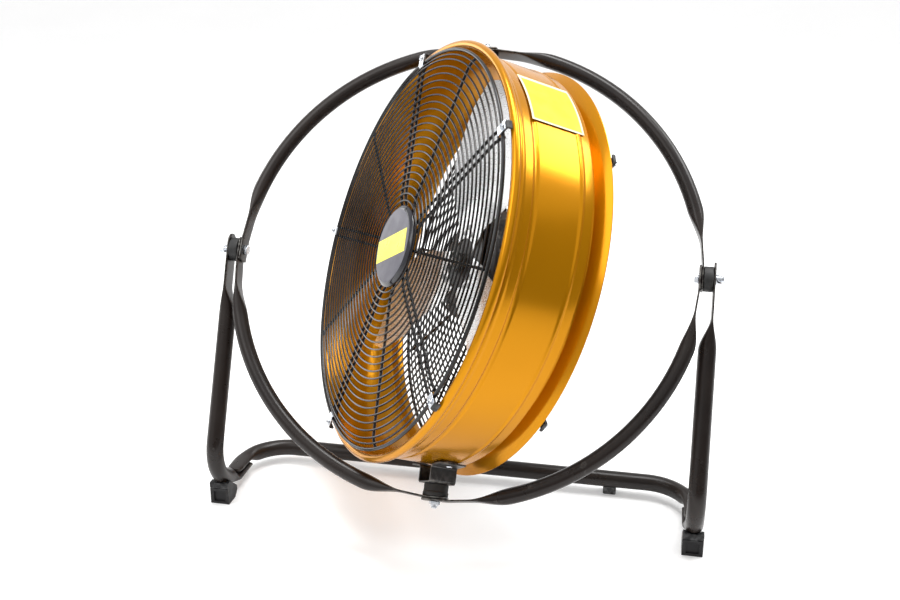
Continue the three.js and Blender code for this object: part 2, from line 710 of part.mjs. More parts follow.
function addMotor() {
  place(drum, 'motor_mount', motorMount(), blackPaint());

  const rearFace = -MOTOR.rear;
  const rearBell = endBell(rearFace + MOTOR.rearBell, MOTOR.rearNose);
  rearBell.rotateX(Math.PI);
  rearBell.translate(0, rearFace, 0);
  place(drum, 'motor_rear_bell', rearBell, blackPaint());
  const frontBell = endBell(MOTOR.frontBell - MOTOR.housingFront, MOTOR.frontNose);
  frontBell.translate(0, -MOTOR.frontBell, 0);
  place(drum, 'motor_front_bell', frontBell, blackPaint());
  const housing = ringY(MOTOR.radius, MOTOR.radius - MOTOR.wall, -MOTOR.housingFront + GAP,
    -MOTOR.rearBell - GAP, 24);
  place(drum, 'motor_housing', housing, blackPaint());

  const [coreFront, coreBack] = [-MOTOR.coreFront, -MOTOR.coreBack];
  const stator = ringY(MOTOR.radius - MOTOR.wall - 1, MOTOR.core + 1, coreFront, coreBack, 24);
  place(drum, 'motor_stator', stator, copper());
  const core = ringY(MOTOR.core, MOTOR.shaft + GAP, coreFront, coreBack, 24);
  place(drum, 'motor_rotor_core', core, steel());
  const shaft = rod(MOTOR.shaft, -FAN_HUB.bossFront - 4, rearFace + MOTOR.rearNose - 3, 16);
  place(drum, 'motor_shaft', shaft, steel());

  const frontSeat = -MOTOR.frontBell - MOTOR.frontNose + 2 + GAP;
  const rearSeat = rearFace + MOTOR.rearNose - 2 - GAP - MOTOR.bearingWide;
  const bearing = (y0) => ringY(MOTOR.bearing, MOTOR.shaft + 0.4, y0, y0 + MOTOR.bearingWide, 24);
  place(drum, 'front_bearing', bearing(frontSeat), steel());
  place(drum, 'rear_bearing', bearing(rearSeat), steel());
}

// A twisted sheet blade. Its root lies flat on the hub, its chord grows outwards and its
// pitch is steepest a third of the way out.
function blade() {
  const across = 8;
  const front = [];
  const back = [];
  for (const radius of BLADE.stations) {
    const part = (radius - BLADE.root) / (BLADE.tip - BLADE.root);
    const pitched = smooth(radius, FAN_HUB.radius + 2, 110);
    const halfChord = mix(BLADE.rootChord, BLADE.chord, smooth(part, -0.1, 0.62))
      - BLADE.rounding * smooth(part, 0.8, 1);
    const pitch = THREE.MathUtils.degToRad(mix(16, 11, part)) * pitched;
    const sweep = BLADE.sweep * part;
    const frontRow = [];
    const backRow = [];
    for (let j = 0; j <= across; j += 1) {
      const t = mix(-1, 1, j / across);
      const angle = (t * halfChord * Math.cos(pitch)) / radius + sweep;
      const camber = BLADE.camber * (1 - t * t) * pitched;
      const ahead = BLADE.ahead + t * halfChord * Math.sin(pitch) - camber;
      const out = new THREE.Vector3(Math.cos(angle), 0, Math.sin(angle)).multiplyScalar(radius);
      frontRow.push(out.clone().setY(-ahead - BLADE.sheet));
      backRow.push(out.clone().setY(-ahead + BLADE.sheet));
    }
    front.push(frontRow);
    back.push(backRow.reverse());
  }
  return loft(front.map((row, i) => [...row, ...back[i]]));
}

function addFan() {
  const { radius, plate, ahead, boss, bossFront, bossBack } = FAN_HUB;
  const hub = join(ringY(radius, MOTOR.shaft + GAP, -ahead, -ahead + plate, 36),
    ringY(boss, MOTOR.shaft + GAP, -bossFront, -bossBack, 20));
  place(drum, 'fan_hub', hub, blackPaint());
  const shape = blade();
  for (let i = 0; i < BLADE.count; i += 1) {
    const mesh = place(drum, `fan_blade_${i + 1}`, shape, aluminium());
    mesh.rotation.y = -BLADE.first - i * (2 * Math.PI / BLADE.count);
  }
}

// ---------------------------------------------------------------- controls

function addControls() {
  const { radius, wall, front, rear } = CONTROL;
  const knobSpot = 14;
  const glandSpot = -34;
  const cup = turned([[radius, -front], [radius, -rear - 3], [radius - 3, -rear],
    [0, -rear], [0, -rear - wall], [radius - wall, -rear - wall], [radius - wall, -front],
    [radius, -front]], 36, false);
  const stemHole = rod(KNOB.stem + 1, -rear - 8, -rear + 8);
  stemHole.translate(0, 0, knobSpot);
  const glandHole = rod(8.5, -rear - 8, -rear + 8, 16);
  glandHole.translate(0, 0, glandSpot);
  place(drum, 'control_housing', cut(cup, stemHole, glandHole), blackPlastic());

  const switchBody = join(block(-15, 15, -rear - wall - SWITCH_DEEP, -rear - wall - GAP, -1, 29),
    rod(KNOB.stem, -rear - wall - 2, -KNOB.rear - 3).translate(0, 0, knobSpot));
  place(drum, 'speed_switch', switchBody, blackPlastic());

  const socket = rod(KNOB.stem + GAP, -KNOB.front - 1, -KNOB.rear - 2.5);
  const grip = block(-3, 3, -KNOB.rear - 2, -KNOB.rear + 4, -KNOB.radius + 2, KNOB.radius - 2);
  const knob = cut(join(rod(KNOB.radius, -KNOB.front, -KNOB.rear, 24), grip), socket);
  knob.translate(0, 0, knobSpot);
  place(drum, 'speed_knob', knob, blackPlastic());

  const gland = join(rod(8, -rear - 8, -rear + 9, 16), rod(11, -rear + GAP, -rear + 5, 6));
  gland.translate(0, 0, glandSpot);
  place(drum, 'cable_gland', gland, blackPlastic());

  const capacitor = rod(CAPACITOR.radius, -CAPACITOR.halfLong, CAPACITOR.halfLong, 20);
  capacitor.rotateX(Math.PI / 2);
  capacitor.translate(CAPACITOR.x, -CAPACITOR.ahead, 0);
  place(drum, 'run_capacitor', capacitor, steel());
}

addStand();
addHoop();
addPivots();
addSwivels();
place(drum, 'drum_shell', drumShell(), yellowPaint());
place(drum, 'drum_label', label(), labelFilm());
addGuards();
addClips();
addMotor();
addFan();
addControls();

export default fan;
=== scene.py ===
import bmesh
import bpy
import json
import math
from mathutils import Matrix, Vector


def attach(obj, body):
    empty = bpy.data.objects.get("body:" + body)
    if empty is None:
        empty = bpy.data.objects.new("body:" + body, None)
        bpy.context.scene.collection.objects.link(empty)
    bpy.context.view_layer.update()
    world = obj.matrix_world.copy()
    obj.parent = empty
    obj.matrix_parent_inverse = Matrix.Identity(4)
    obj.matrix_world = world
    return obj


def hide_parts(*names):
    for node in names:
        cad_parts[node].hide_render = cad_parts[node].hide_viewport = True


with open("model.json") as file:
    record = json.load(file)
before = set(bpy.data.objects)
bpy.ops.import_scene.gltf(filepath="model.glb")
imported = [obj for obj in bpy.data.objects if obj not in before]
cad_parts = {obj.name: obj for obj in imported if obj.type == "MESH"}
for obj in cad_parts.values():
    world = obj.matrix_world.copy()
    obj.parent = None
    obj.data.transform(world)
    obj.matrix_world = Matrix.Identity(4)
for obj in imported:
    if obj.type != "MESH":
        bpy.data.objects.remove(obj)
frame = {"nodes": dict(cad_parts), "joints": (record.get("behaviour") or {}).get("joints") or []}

# Looks of a drum fan: detailed pieces, materials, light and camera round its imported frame.
# The makers below work in millimetres, in one of three frames:
#   stand: the world's axes, with the origin on the floor under the tilt axis;
#   hoop:  the origin at the pivots, X to the right, Z along the drum's swivel axis;
#   drum:  the same origin and Z, with the drum's axis along Y and its front at -Y.
# "Ahead" is a distance towards the drum's front, so it is minus the local y.

SCENE = bpy.context.scene
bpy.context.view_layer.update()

# ---- frames

joints = {joint["name"]: joint for joint in frame["joints"]}
PIVOT = Vector(joints["hoop_tilt"]["pos_m"])
UP_AXIS = Vector(joints["drum_swivel"]["axis"]).normalized()
AHEAD_AXIS = Vector(joints["rotor_spin"]["axis"]).normalized()


def frame_matrix(x, y, z, origin):
    """Takes millimetres in a local frame to metres in the world."""
    matrix = Matrix((x, y, z)).transposed().to_4x4()
    return Matrix.Translation(origin) @ matrix @ Matrix.Scale(0.001, 4)


X, Y, Z = Vector((1, 0, 0)), Vector((0, 1, 0)), Vector((0, 0, 1))
STAND = frame_matrix(X, Y, Z, Y * PIVOT.y)
HOOP = frame_matrix(X, UP_AXIS.cross(X), UP_AXIS, PIVOT)
DRUM = frame_matrix((-AHEAD_AXIS).cross(UP_AXIS), -AHEAD_AXIS, UP_AXIS, PIVOT)
FRAMES = {"stand": STAND, "hoop": HOOP, "left_wing": HOOP, "right_wing": HOOP, "drum": DRUM,
          "rotor": DRUM, "knob": DRUM}

# ---- camera

CAMERA_AT = Vector((0.2660, -1.36498, 0.8072))
CAMERA_LOOKS = Vector((-0.18972, 0.92137, -0.33925))
CAMERA_LENS = 42.44


def link_new(name, data):
    """Makes an object for the data and links it to the scene."""
    made = bpy.data.objects.new(name, data)
    SCENE.collection.objects.link(made)
    return made


def add_camera():
    data = bpy.data.cameras.new("camera")
    data.lens = CAMERA_LENS
    data.sensor_width = 36
    data.clip_end = 100
    camera = link_new("camera", data)
    camera.location = CAMERA_AT
    camera.rotation_euler = CAMERA_LOOKS.to_track_quat("-Z", "Y").to_euler()
    bpy.context.scene.camera = camera


add_camera()

# ---- materials

BARE = (0.28, 0.27, 0.25)
RUBBED = (0.12, 0.12, 0.12)


class Nodes:
    """Short calls for building one material's node tree."""

    def __init__(self, name):
        self.material = bpy.data.materials.new(name)
        self.material.use_nodes = True
        self.tree = self.material.node_tree
        self.shader = self.tree.nodes["Principled BSDF"]
        self.place = self.add("ShaderNodeTexCoord").outputs["Object"]

    def add(self, kind, **settings):
        node = self.tree.nodes.new(kind)
        for key, value in settings.items():
            setattr(node, key, value)
        return node

    def link(self, source, target):
        self.tree.links.new(source, target)

    def set(self, name, value):
        self.shader.inputs[name].default_value = value

    def noise(self, scale, detail, rough=0.5, where=None):
        node = self.add("ShaderNodeTexNoise")
        node.inputs["Scale"].default_value = scale
        node.inputs["Detail"].default_value = detail
        node.inputs["Roughness"].default_value = rough
        self.link(where or self.place, node.inputs["Vector"])
        return node.outputs["Fac"]

    def surface(self, colour, roughness):
        self.link(colour, self.shader.inputs["Base Color"])
        self.link(roughness, self.shader.inputs["Roughness"])

    def ramp(self, value, dark, light, margin=0.3):
        """From dark, up to the margin above 0, to light, from the same margin below 1."""
        node = self.add("ShaderNodeValToRGB")
        stops = ((margin, dark), (1 - margin, light))
        for element, (position, colour) in zip(node.color_ramp.elements, stops):
            element.position = position
            element.color = (*colour, 1)
        self.link(value, node.inputs["Fac"])
        return node.outputs["Color"]

    def spread(self, value, low, high, lowest=0.3, highest=0.7):
        """Maps a noise value onto low to high."""
        node = self.add("ShaderNodeMapRange")
        node.inputs["From Min"].default_value = lowest
        node.inputs["From Max"].default_value = highest
        node.inputs["To Min"].default_value = low
        node.inputs["To Max"].default_value = high
        self.link(value, node.inputs["Value"])
        return node.outputs["Result"]

    def blend(self, factor, below, above):
        node = self.add("ShaderNodeMix", data_type="RGBA")
        self.link(factor, node.inputs["Factor"])
        self.link(below, node.inputs["A"])
        node.inputs["B"].default_value = (*above, 1)
        return node.outputs["Result"]

    def times(self, first, second):
        node = self.add("ShaderNodeMath", operation="MULTIPLY")
        self.link(first, node.inputs[0])
        self.link(second, node.inputs[1])
        return node.outputs["Value"]

    def stretched(self, matrix, sizes):
        """Coordinates in a local frame, squeezed along its axes by the sizes."""
        node = self.add("ShaderNodeMapping", vector_type="TEXTURE")
        node.inputs["Location"].default_value = matrix.to_translation()
        node.inputs["Rotation"].default_value = matrix.to_euler()
        node.inputs["Scale"].default_value = sizes
        self.link(self.place, node.inputs["Vector"])
        return node.outputs["Vector"]

    def bump(self, height, distance, strength, under=None):
        node = self.add("ShaderNodeBump")
        node.inputs["Strength"].default_value = strength
        node.inputs["Distance"].default_value = distance
        self.link(height, node.inputs["Height"])
        if under:
            self.link(under, node.inputs["Normal"])
        self.link(node.outputs["Normal"], self.shader.inputs["Normal"])
        return node.outputs["Normal"]

    def worn_edges(self, from_value=0.53, to_value=0.62):
        """High where the mesh has a sharp outer edge, broken up by noise."""
        pointed = self.add("ShaderNodeNewGeometry").outputs["Pointiness"]
        edge = self.spread(pointed, 0, 1, from_value, to_value)
        return self.times(edge, self.spread(self.noise(180, 4), 0, 1, 0.42, 0.6))


def painted(name, dark, light, rough, peel=0.00003, coat=0.0, wear=True, scuffs=0.0,
            shine=0.5):
    """Powder coat: mottled colour, orange peel, wear on edges and a few scuffs."""
    n = Nodes(name)
    colour = n.ramp(n.noise(9, 3), dark, light, 0.35)
    if scuffs:
        mark = n.spread(n.noise(38, 8, 0.7), 0, scuffs, 0.64, 0.76)
        colour = n.blend(mark, colour, BARE)
    if wear:
        colour = n.blend(n.worn_edges(), colour, BARE)
    n.surface(colour, n.spread(n.noise(26, 5), rough * 0.82, rough * 1.25))
    n.set("Specular IOR Level", shine)
    n.set("Coat Weight", coat)
    n.set("Coat Roughness", 0.06)
    fine = n.bump(n.noise(1100, 2), peel, 0.6)
    n.bump(n.noise(240, 1), peel * 2, 0.35, fine)
    return n.material


def plated(name, dark, light, rough, scratch=0.000012):
    """Bare or plated metal: cloudy colour, streaky roughness and hair scratches."""
    n = Nodes(name)
    n.surface(n.ramp(n.noise(70, 4), dark, light),
              n.spread(n.noise(160, 5), rough * 0.7, rough * 1.4))
    n.set("Metallic", 1.0)
    n.bump(n.noise(1500, 3), scratch, 0.5)
    return n.material


def moulded(name, dark, light, rough, grain=0.00005, grain_scale=1500, wear=True, shine=0.5):
    """Moulded plastic, rubber or film: faint clouding, a fine grain and rubbed edges."""
    n = Nodes(name)
    colour = n.ramp(n.noise(40, 4), dark, light, 0.35)
    if wear:
        colour = n.blend(n.worn_edges(), colour, RUBBED)
    n.surface(colour, n.spread(n.noise(60, 4), rough * 0.85, rough * 1.2))
    n.set("Specular IOR Level", shine)
    n.bump(n.noise(grain_scale, 2), grain, 0.6)
    return n.material


def drum_yellow():
    """Glossy yellow-orange enamel, a little uneven round the rolled sheet."""
    n = Nodes("drum_yellow")
    colour = n.ramp(n.noise(5, 2), (0.51, 0.204, 0.001), (0.56, 0.230, 0.001))
    colour = n.blend(n.spread(n.noise(420, 6, 0.7), 0, 0.16, 0.62, 0.74), colour,
                     (0.52, 0.25, 0.01))
    colour = n.blend(n.worn_edges(0.56, 0.68), colour, (0.80, 0.52, 0.10))
    n.surface(colour, n.spread(n.noise(7, 3), 0.17, 0.23))
    n.set("Metallic", 0.6)
    n.set("Specular IOR Level", 0.25)
    peel = n.bump(n.noise(520, 2), 0.00001, 0.4)
    n.bump(n.noise(16, 1), 0.0005, 0.05, peel)
    return n.material


def blade_metal():
    """Rolled aluminium sheet with brushing along the blade's sweep."""
    n = Nodes("blade_aluminium")
    across = n.noise(60, 6, 0.6, n.stretched(DRUM, (1, 0.08, 0.08)))
    colour = n.ramp(n.noise(18, 4), (0.90, 0.91, 0.92), (0.97, 0.97, 0.98))
    colour = n.blend(n.spread(n.noise(90, 8, 0.7), 0, 0.3, 0.62, 0.78), colour,
                     (0.45, 0.44, 0.43))
    n.surface(colour, n.spread(across, 0.22, 0.36))
    n.set("Metallic", 0.85)
    n.bump(across, 0.00002, 0.4)
    return n.material


def windings():
    """Varnished copper wire, laid in fine turns."""
    n = Nodes("copper_winding")
    turns = n.add("ShaderNodeTexWave", wave_type="RINGS", rings_direction="Y")
    turns.inputs["Scale"].default_value = 300
    turns.inputs["Distortion"].default_value = 1.5
    n.link(n.stretched(DRUM, (1, 1, 1)), turns.inputs["Vector"])
    n.surface(n.ramp(turns.outputs["Fac"], (0.16, 0.05, 0.02), (0.55, 0.25, 0.11), 0.2),
              n.spread(n.noise(120, 4), 0.3, 0.5))
    n.set("Metallic", 0.6)
    n.bump(turns.outputs["Fac"], 0.0002, 0.7)
    return n.material


TUBE = painted("tube_black_brown", (0.010, 0.007, 0.006), (0.016, 0.011, 0.009), 0.30,
               scuffs=0.2, shine=0.3)
SHEET = painted("sheet_black", (0.012, 0.011, 0.011), (0.020, 0.018, 0.018), 0.38, coat=0.1,
                scuffs=0.15)
WIRE = painted("wire_black", (0.004, 0.004, 0.004), (0.009, 0.008, 0.008), 0.22, wear=False,
               shine=0.35)
MOTOR_BLACK = painted("motor_black", (0.010, 0.010, 0.011), (0.022, 0.021, 0.021), 0.42,
                      peel=0.00006)
YELLOW = drum_yellow()
BRIGHT = plated("bright_zinc", (0.46, 0.49, 0.54), (0.70, 0.72, 0.75), 0.22)
STEEL = plated("plain_steel", (0.36, 0.36, 0.37), (0.55, 0.55, 0.56), 0.36, 0.00003)
CAN = plated("capacitor_can", (0.55, 0.55, 0.57), (0.74, 0.74, 0.75), 0.3)
BLADE = blade_metal()
COPPER = windings()
RUBBER = moulded("black_rubber", (0.008, 0.008, 0.008), (0.018, 0.017, 0.017), 0.62)
FOOT_PLASTIC = moulded("foot_plastic", (0.008, 0.008, 0.009), (0.015, 0.014, 0.015), 0.5,
                       0.00008, shine=0.25)
CONTROL = moulded("control_plastic", (0.014, 0.014, 0.015), (0.025, 0.025, 0.026), 0.45)
BADGE_SIDE = moulded("badge_gloss", (0.012, 0.012, 0.016), (0.020, 0.020, 0.026), 0.14,
                     0.00001, 600)
BADGE_FACE = moulded("badge_satin", (0.070, 0.067, 0.088), (0.088, 0.085, 0.108), 0.42,
                     0.00002, 2400, wear=False)
BAND = moulded("badge_band_film", (0.90, 0.80, 0.045), (0.95, 0.86, 0.06), 0.3, 0.00001, 900,
               wear=False)
LABEL_YELLOW = moulded("label_film", (0.58, 0.54, 0.010), (0.64, 0.60, 0.015), 0.55, 0.00001,
                       900, wear=False)
LABEL_PALE = moulded("label_border", (0.70, 0.68, 0.42), (0.78, 0.76, 0.50), 0.5, 0.00001,
                     900, wear=False)

# Each finish's slot in the record, unless the piece names another.
SLOTS = {TUBE: "tube_paint", SHEET: "sheet_paint", MOTOR_BLACK: "sheet_paint",
         WIRE: "guard_paint", YELLOW: "drum_paint", BRIGHT: "zinc", STEEL: "plain_steel",
         BLADE: "blade_aluminium", RUBBER: "black_plastic", FOOT_PLASTIC: "black_plastic",
         CONTROL: "control_plastic", BADGE_SIDE: "badge_plastic", BADGE_FACE: "badge_plastic",
         BAND: "badge_plastic", LABEL_YELLOW: "label_film"}

# ---- shapes


RING_POINTS = 28
WELD = 1e-6
SHARP = 38


def smooth(value, start, end):
    t = min(max((value - start) / (end - start), 0), 1)
    return t * t * (3 - 2 * t)


def mix(a, b, t):
    return a + (b - a) * t


def steps(start, end, count):
    """count + 1 even values from start to end."""
    return [mix(start, end, i / count) for i in range(count + 1)]


def end_faces(first, count):
    """Faces zipped between a ring's two halves, which fill a thin bent end cleanly."""
    faces = []
    low, high = first, first + count - 1
    while high - low > 2:
        faces.append((low, low + 1, high - 1, high))
        low, high = low + 1, high - 1
    if high - low == 2:
        faces.append((low, low + 1, high))
    return faces


def loft(rings, closed=False):
    """A skin through rings with equal counts, capped at both ends unless it closes."""
    count = len(rings[0])
    verts = [Vector(point) for ring in rings for point in ring]
    faces = []
    for i in range(len(rings) if closed else len(rings) - 1):
        here = i * count
        after = (i + 1) % len(rings) * count
        for j in range(count):
            k = (j + 1) % count
            faces.append((here + j, here + k, after + k, after + j))
    if not closed:
        faces += [face[::-1] for face in end_faces(0, count)]
        faces += end_faces(len(verts) - count, count)
    return verts, faces


def moved(data, matrix):
    return [matrix @ v for v in data[0]], data[1]


def merged(*parts):
    verts = []
    faces = []
    for part_verts, part_faces in parts:
        start = len(verts)
        verts.extend(part_verts)
        faces.extend(tuple(i + start for i in face) for face in part_faces)
    return verts, faces


def turn(axis, degrees):
    return Matrix.Rotation(math.radians(degrees), 4, axis)


def shift(x=0, y=0, z=0):
    return Matrix.Translation((x, y, z))


def rounded(points, radius, count=3, closed=True):
    """A polyline with its corners rounded, as far as its sides allow."""
    points = [Vector(p) for p in points]
    made = []
    last = len(points) - 1
    for i, corner in enumerate(points):
        if not closed and i in (0, last):
            made.append(corner)
            continue
        before = points[i - 1] - corner
        after = points[(i + 1) % len(points)] - corner
        reach = min(radius, before.length * 0.45, after.length * 0.45)
        start = corner + before.normalized() * reach
        end = corner + after.normalized() * reach
        for t in steps(0, 1, count):
            made.append(start * (1 - t) ** 2 + corner * 2 * t * (1 - t) + end * t * t)
    return made


def spun(angle):
    """A unit vector turned from X towards Z."""
    return Vector((math.cos(angle), 0, math.sin(angle)))


def circle(count):
    """Even points round a unit circle."""
    return [(math.cos(a), math.sin(a)) for a in steps(0, 2 * math.pi, count)[:-1]]


def lathe(profile, segments, closed=True):
    """Turns a list of (radius, ahead) about the Y axis. An open one starts and ends at 0."""
    rings = [[(r * c, -ahead, r * s) for r, ahead in profile] for c, s in circle(segments)]
    count = len(profile)
    verts, faces = loft(rings, closed=True)
    if not closed:
        faces = [f for f in faces if {f[0] % count, f[1] % count} != {0, count - 1}]
    return verts, faces


def disc(radius, rear, front, edge, segments):
    """A solid disc about the Y axis with rounded rims."""
    corners = [(0, rear), (radius, rear), (radius, front), (0, front)]
    return lathe(rounded(corners, edge, closed=False), segments, closed=False)


def washer(outer, inner, rear, front, edge, segments=48):
    corners = [(inner, rear), (outer, rear), (outer, front), (inner, front)]
    return lathe(rounded(corners, edge), segments)


def wire_ring(radius, ahead, thick, segments, sides=8):
    """A ring of round wire about the Y axis."""
    return lathe([(radius + thick * c, ahead + thick * s) for c, s in circle(sides)], segments)


def tube(points, radius, sides):
    """A round rod along a list of points."""
    points = [Vector(p) for p in points]
    rings = []
    side = None
    for i, point in enumerate(points):
        along = (points[min(i + 1, len(points) - 1)] - points[max(i - 1, 0)]).normalized()
        if side is None:
            side = along.orthogonal()
        side = (side - along * side.dot(along)).normalized()
        other = along.cross(side)
        rings.append([point + radius * (side * c + other * s) for c, s in circle(sides)])
    return loft(rings)


def section(centre, along, across, half_along, half_across, power):
    """A ring that goes from an ellipse, power 2, to a rounded slab."""
    ring = []
    for j in range(RING_POINTS):
        angle = (j + 0.5) / RING_POINTS * 2 * math.pi
        c = math.copysign(abs(math.cos(angle)) ** (2 / power), math.cos(angle))
        s = math.copysign(abs(math.sin(angle)) ** (2 / power), math.sin(angle))
        ring.append(centre + along * (half_along * c) + across * (half_across * s))
    return ring


def plate(outline, near, far):
    """An outline of (x, z) points as a slab from y = near to y = far."""
    return loft([[(x, y, z) for x, z in outline] for y in (near, far)])


def side_plate(outline, near, far):
    """An outline of (y, z) points as a slab from x = near to x = far."""
    return loft([[(x, y, z) for y, z in outline] for x in (near, far)])


def strip(path, thick, near, far, bend):
    """A bent sheet strip along an (x, z) path, thick across it, from y = near to far."""
    line = rounded(path, bend, 5, closed=False)
    one, other = [], []
    for i, point in enumerate(line):
        along = (line[min(i + 1, len(line) - 1)] - line[max(i - 1, 0)]).normalized()
        off = along.orthogonal() * (thick / 2)
        one.append(point + off)
        other.append(point - off)
    return plate(one + other[::-1], near, far)


def hexagon(across, rear, front, edge=0.5):
    """A hexagonal prism about the Y axis with chamfered corners."""
    radius = across / math.sqrt(3)
    sizes = ((-rear, radius - edge), (-rear - edge, radius), (-front + edge, radius),
             (-front, radius - edge))
    return loft([[(size * c, y, size * s) for c, s in circle(6)] for y, size in sizes])


def thread(radius, rear, front):
    """A rod about the Y axis with the grooves of a thread."""
    pitch = 1.25
    profile = [(0, rear)]
    ahead = rear
    while ahead < front - pitch:
        profile += [(radius - 0.55, ahead), (radius, ahead + pitch / 2)]
        ahead += pitch
    profile += [(radius - 0.6, front - 0.3), (radius - 1.2, front), (0, front)]
    return lathe(profile, 20, closed=False)


def new_object(name, data, weld=0):
    """Links an object made from mesh data, with near points welded and its faces outward."""
    mesh = bpy.data.meshes.new(name)
    mesh.from_pydata([tuple(v) for v in data[0]], [], data[1])
    if weld:
        work = bmesh.new()
        work.from_mesh(mesh)
        bmesh.ops.remove_doubles(work, verts=work.verts, dist=weld)
        bmesh.ops.dissolve_degenerate(work, edges=work.edges, dist=weld)
        bmesh.ops.recalc_face_normals(work, faces=work.faces)
        work.to_mesh(mesh)
        work.free()
    return link_new(name, mesh)


def add(name, data, material, body, stands_for=(), slot=None, bevel=0.0, sharp=SHARP):
    """Makes a piece from mesh data in its body's frame, and puts it on that body."""
    piece = new_object(name, moved(data, FRAMES[body]), WELD)
    piece.data.materials.append(material)
    piece.data.shade_smooth()
    piece.data.set_sharp_from_angle(angle=math.radians(sharp))
    if bevel:
        soften(piece, bevel)
    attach(piece, body)
    slot = slot or SLOTS.get(material)
    if stands_for:
        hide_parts(*stands_for)


def soften(piece, width_mm):
    bevel = piece.modifiers.new("soft_edges", "BEVEL")
    bevel.width = width_mm * 0.001
    bevel.segments = 2
    bevel.limit_method = "ANGLE"
    bevel.angle_limit = math.radians(SHARP)
    bevel.harden_normals = True


def cut(data, tool):
    """Mesh data with a tool's volume taken out of it."""
    objects = [new_object("cutting", part, WELD * 10) for part in (data, tool)]
    boolean = objects[0].modifiers.new("cut", "BOOLEAN")
    boolean.operation = "DIFFERENCE"
    boolean.solver = "EXACT"
    boolean.object = objects[1]
    graph = bpy.context.evaluated_depsgraph_get()
    result = objects[0].evaluated_get(graph).to_mesh()
    made = ([v.co.copy() for v in result.vertices], [tuple(p.vertices) for p in result.polygons])
    objects[0].evaluated_get(graph).to_mesh_clear()
    for made_object in objects:
        bpy.data.objects.remove(made_object)
    return made


def box(x0, x1, y0, y1, z0, z1):
    return plate([(x0, z0), (x1, z0), (x1, z1), (x0, z1)], y0, y1)


def cross_head(radius, high):
    """A domed screw head with a cross recess, its seat at y = 0 and its top at -y."""
    profile = [(0, 0), (radius, 0), (radius, high * 0.35), (radius * 0.8, high * 0.8),
               (radius * 0.45, high), (0, high)]
    head = lathe(rounded(profile, 0.5, closed=False), 24, closed=False)
    half = radius * 0.55
    wide = radius * 0.13
    for slot_box in (box(-half, half, -high - 1, -high * 0.45, -wide, wide),
                     box(-wide, wide, -high - 1, -high * 0.45, -half, half)):
        head = cut(head, slot_box)
    return head


# ---- floor stand

PIVOT_HIGH = 355
LEG_X = 337.3
LEG_TUBE = 12.2
LEG_FLAT = {"x": 340.9, "thick": 1.5, "wide": 15.5, "above": 23, "long": 50, "round": 95}
LEG_BEND = {"radius": 54, "y": -63, "z": 80}
LEG_END = {"y": -19, "high": 3.6, "wide": 14.5}
BAR = {"tube": 12.2, "y": 35, "z": 22.8, "bend": 66, "tip": -61, "high": 4.1, "wide": 12,
       "flat_z": 25.5, "flat_from": -17, "round_from": 8}
FOOT = {"front": -113.5, "half": 14, "high": 34}
PAD = {"x": 218, "half": 9.5, "y": 37.5, "high": 22}


def leg():
    """From the flattened top down the slope, round the bend and back along the floor."""
    to_bend = (-LEG_BEND["y"], PIVOT_HIGH - LEG_BEND["z"])
    reach = math.hypot(*to_bend)
    lean = math.atan2(to_bend[0], to_bend[1]) + math.asin(LEG_BEND["radius"] / reach)
    down = Vector((0, -math.sin(lean), -math.cos(lean)))
    bend_turn = math.pi / 2 + lean
    rings = []

    def ring(centre, direction, x, half_x, half_n, power):
        centre.x = x
        rings.append(section(centre, X, direction.cross(X).normalized(), half_x, half_n, power))

    def slope_ring(s):
        t = smooth(s, LEG_FLAT["long"], LEG_FLAT["round"])
        rise = min(s + LEG_FLAT["above"], LEG_FLAT["wide"])
        tip = math.sqrt(LEG_FLAT["wide"] ** 2 - (LEG_FLAT["wide"] - rise) ** 2)
        ring(Vector((0, 0, PIVOT_HIGH)) + down * s, down, mix(LEG_FLAT["x"], LEG_X, t),
             mix(LEG_FLAT["thick"], LEG_TUBE, t), mix(tip, LEG_TUBE, t), mix(5, 2, t))

    for drop in (0.2, 1, 2.5, 4.5, 7, 10, 14, 18):
        slope_ring(drop - LEG_FLAT["above"])
    for s in steps(LEG_FLAT["long"], LEG_FLAT["round"], 14):
        slope_ring(s)
    for angle in steps(0, bend_turn, 26):
        heading = lean - angle
        direction = Vector((0, -math.sin(heading), -math.cos(heading)))
        out = Vector((0, -math.cos(heading), math.sin(heading)))
        squash = smooth(angle, bend_turn - 0.3, bend_turn)
        drop = squash * (LEG_TUBE - LEG_END["high"])
        centre = Vector((0, LEG_BEND["y"], LEG_BEND["z"])) + out * (LEG_BEND["radius"] + drop)
        ring(centre, direction, LEG_X, mix(LEG_TUBE, LEG_END["wide"], squash),
             mix(LEG_TUBE, LEG_END["high"], squash), mix(2, 3, squash))
    low = LEG_BEND["z"] - LEG_BEND["radius"] - LEG_TUBE + LEG_END["high"]
    for y, part in ((-30, 1), (LEG_END["y"] - 1.2, 1), (LEG_END["y"], 0.86)):
        ring(Vector((0, y, low)), Y, LEG_X, LEG_END["wide"] * part, LEG_END["high"] * part, 3)
    return loft(rings)


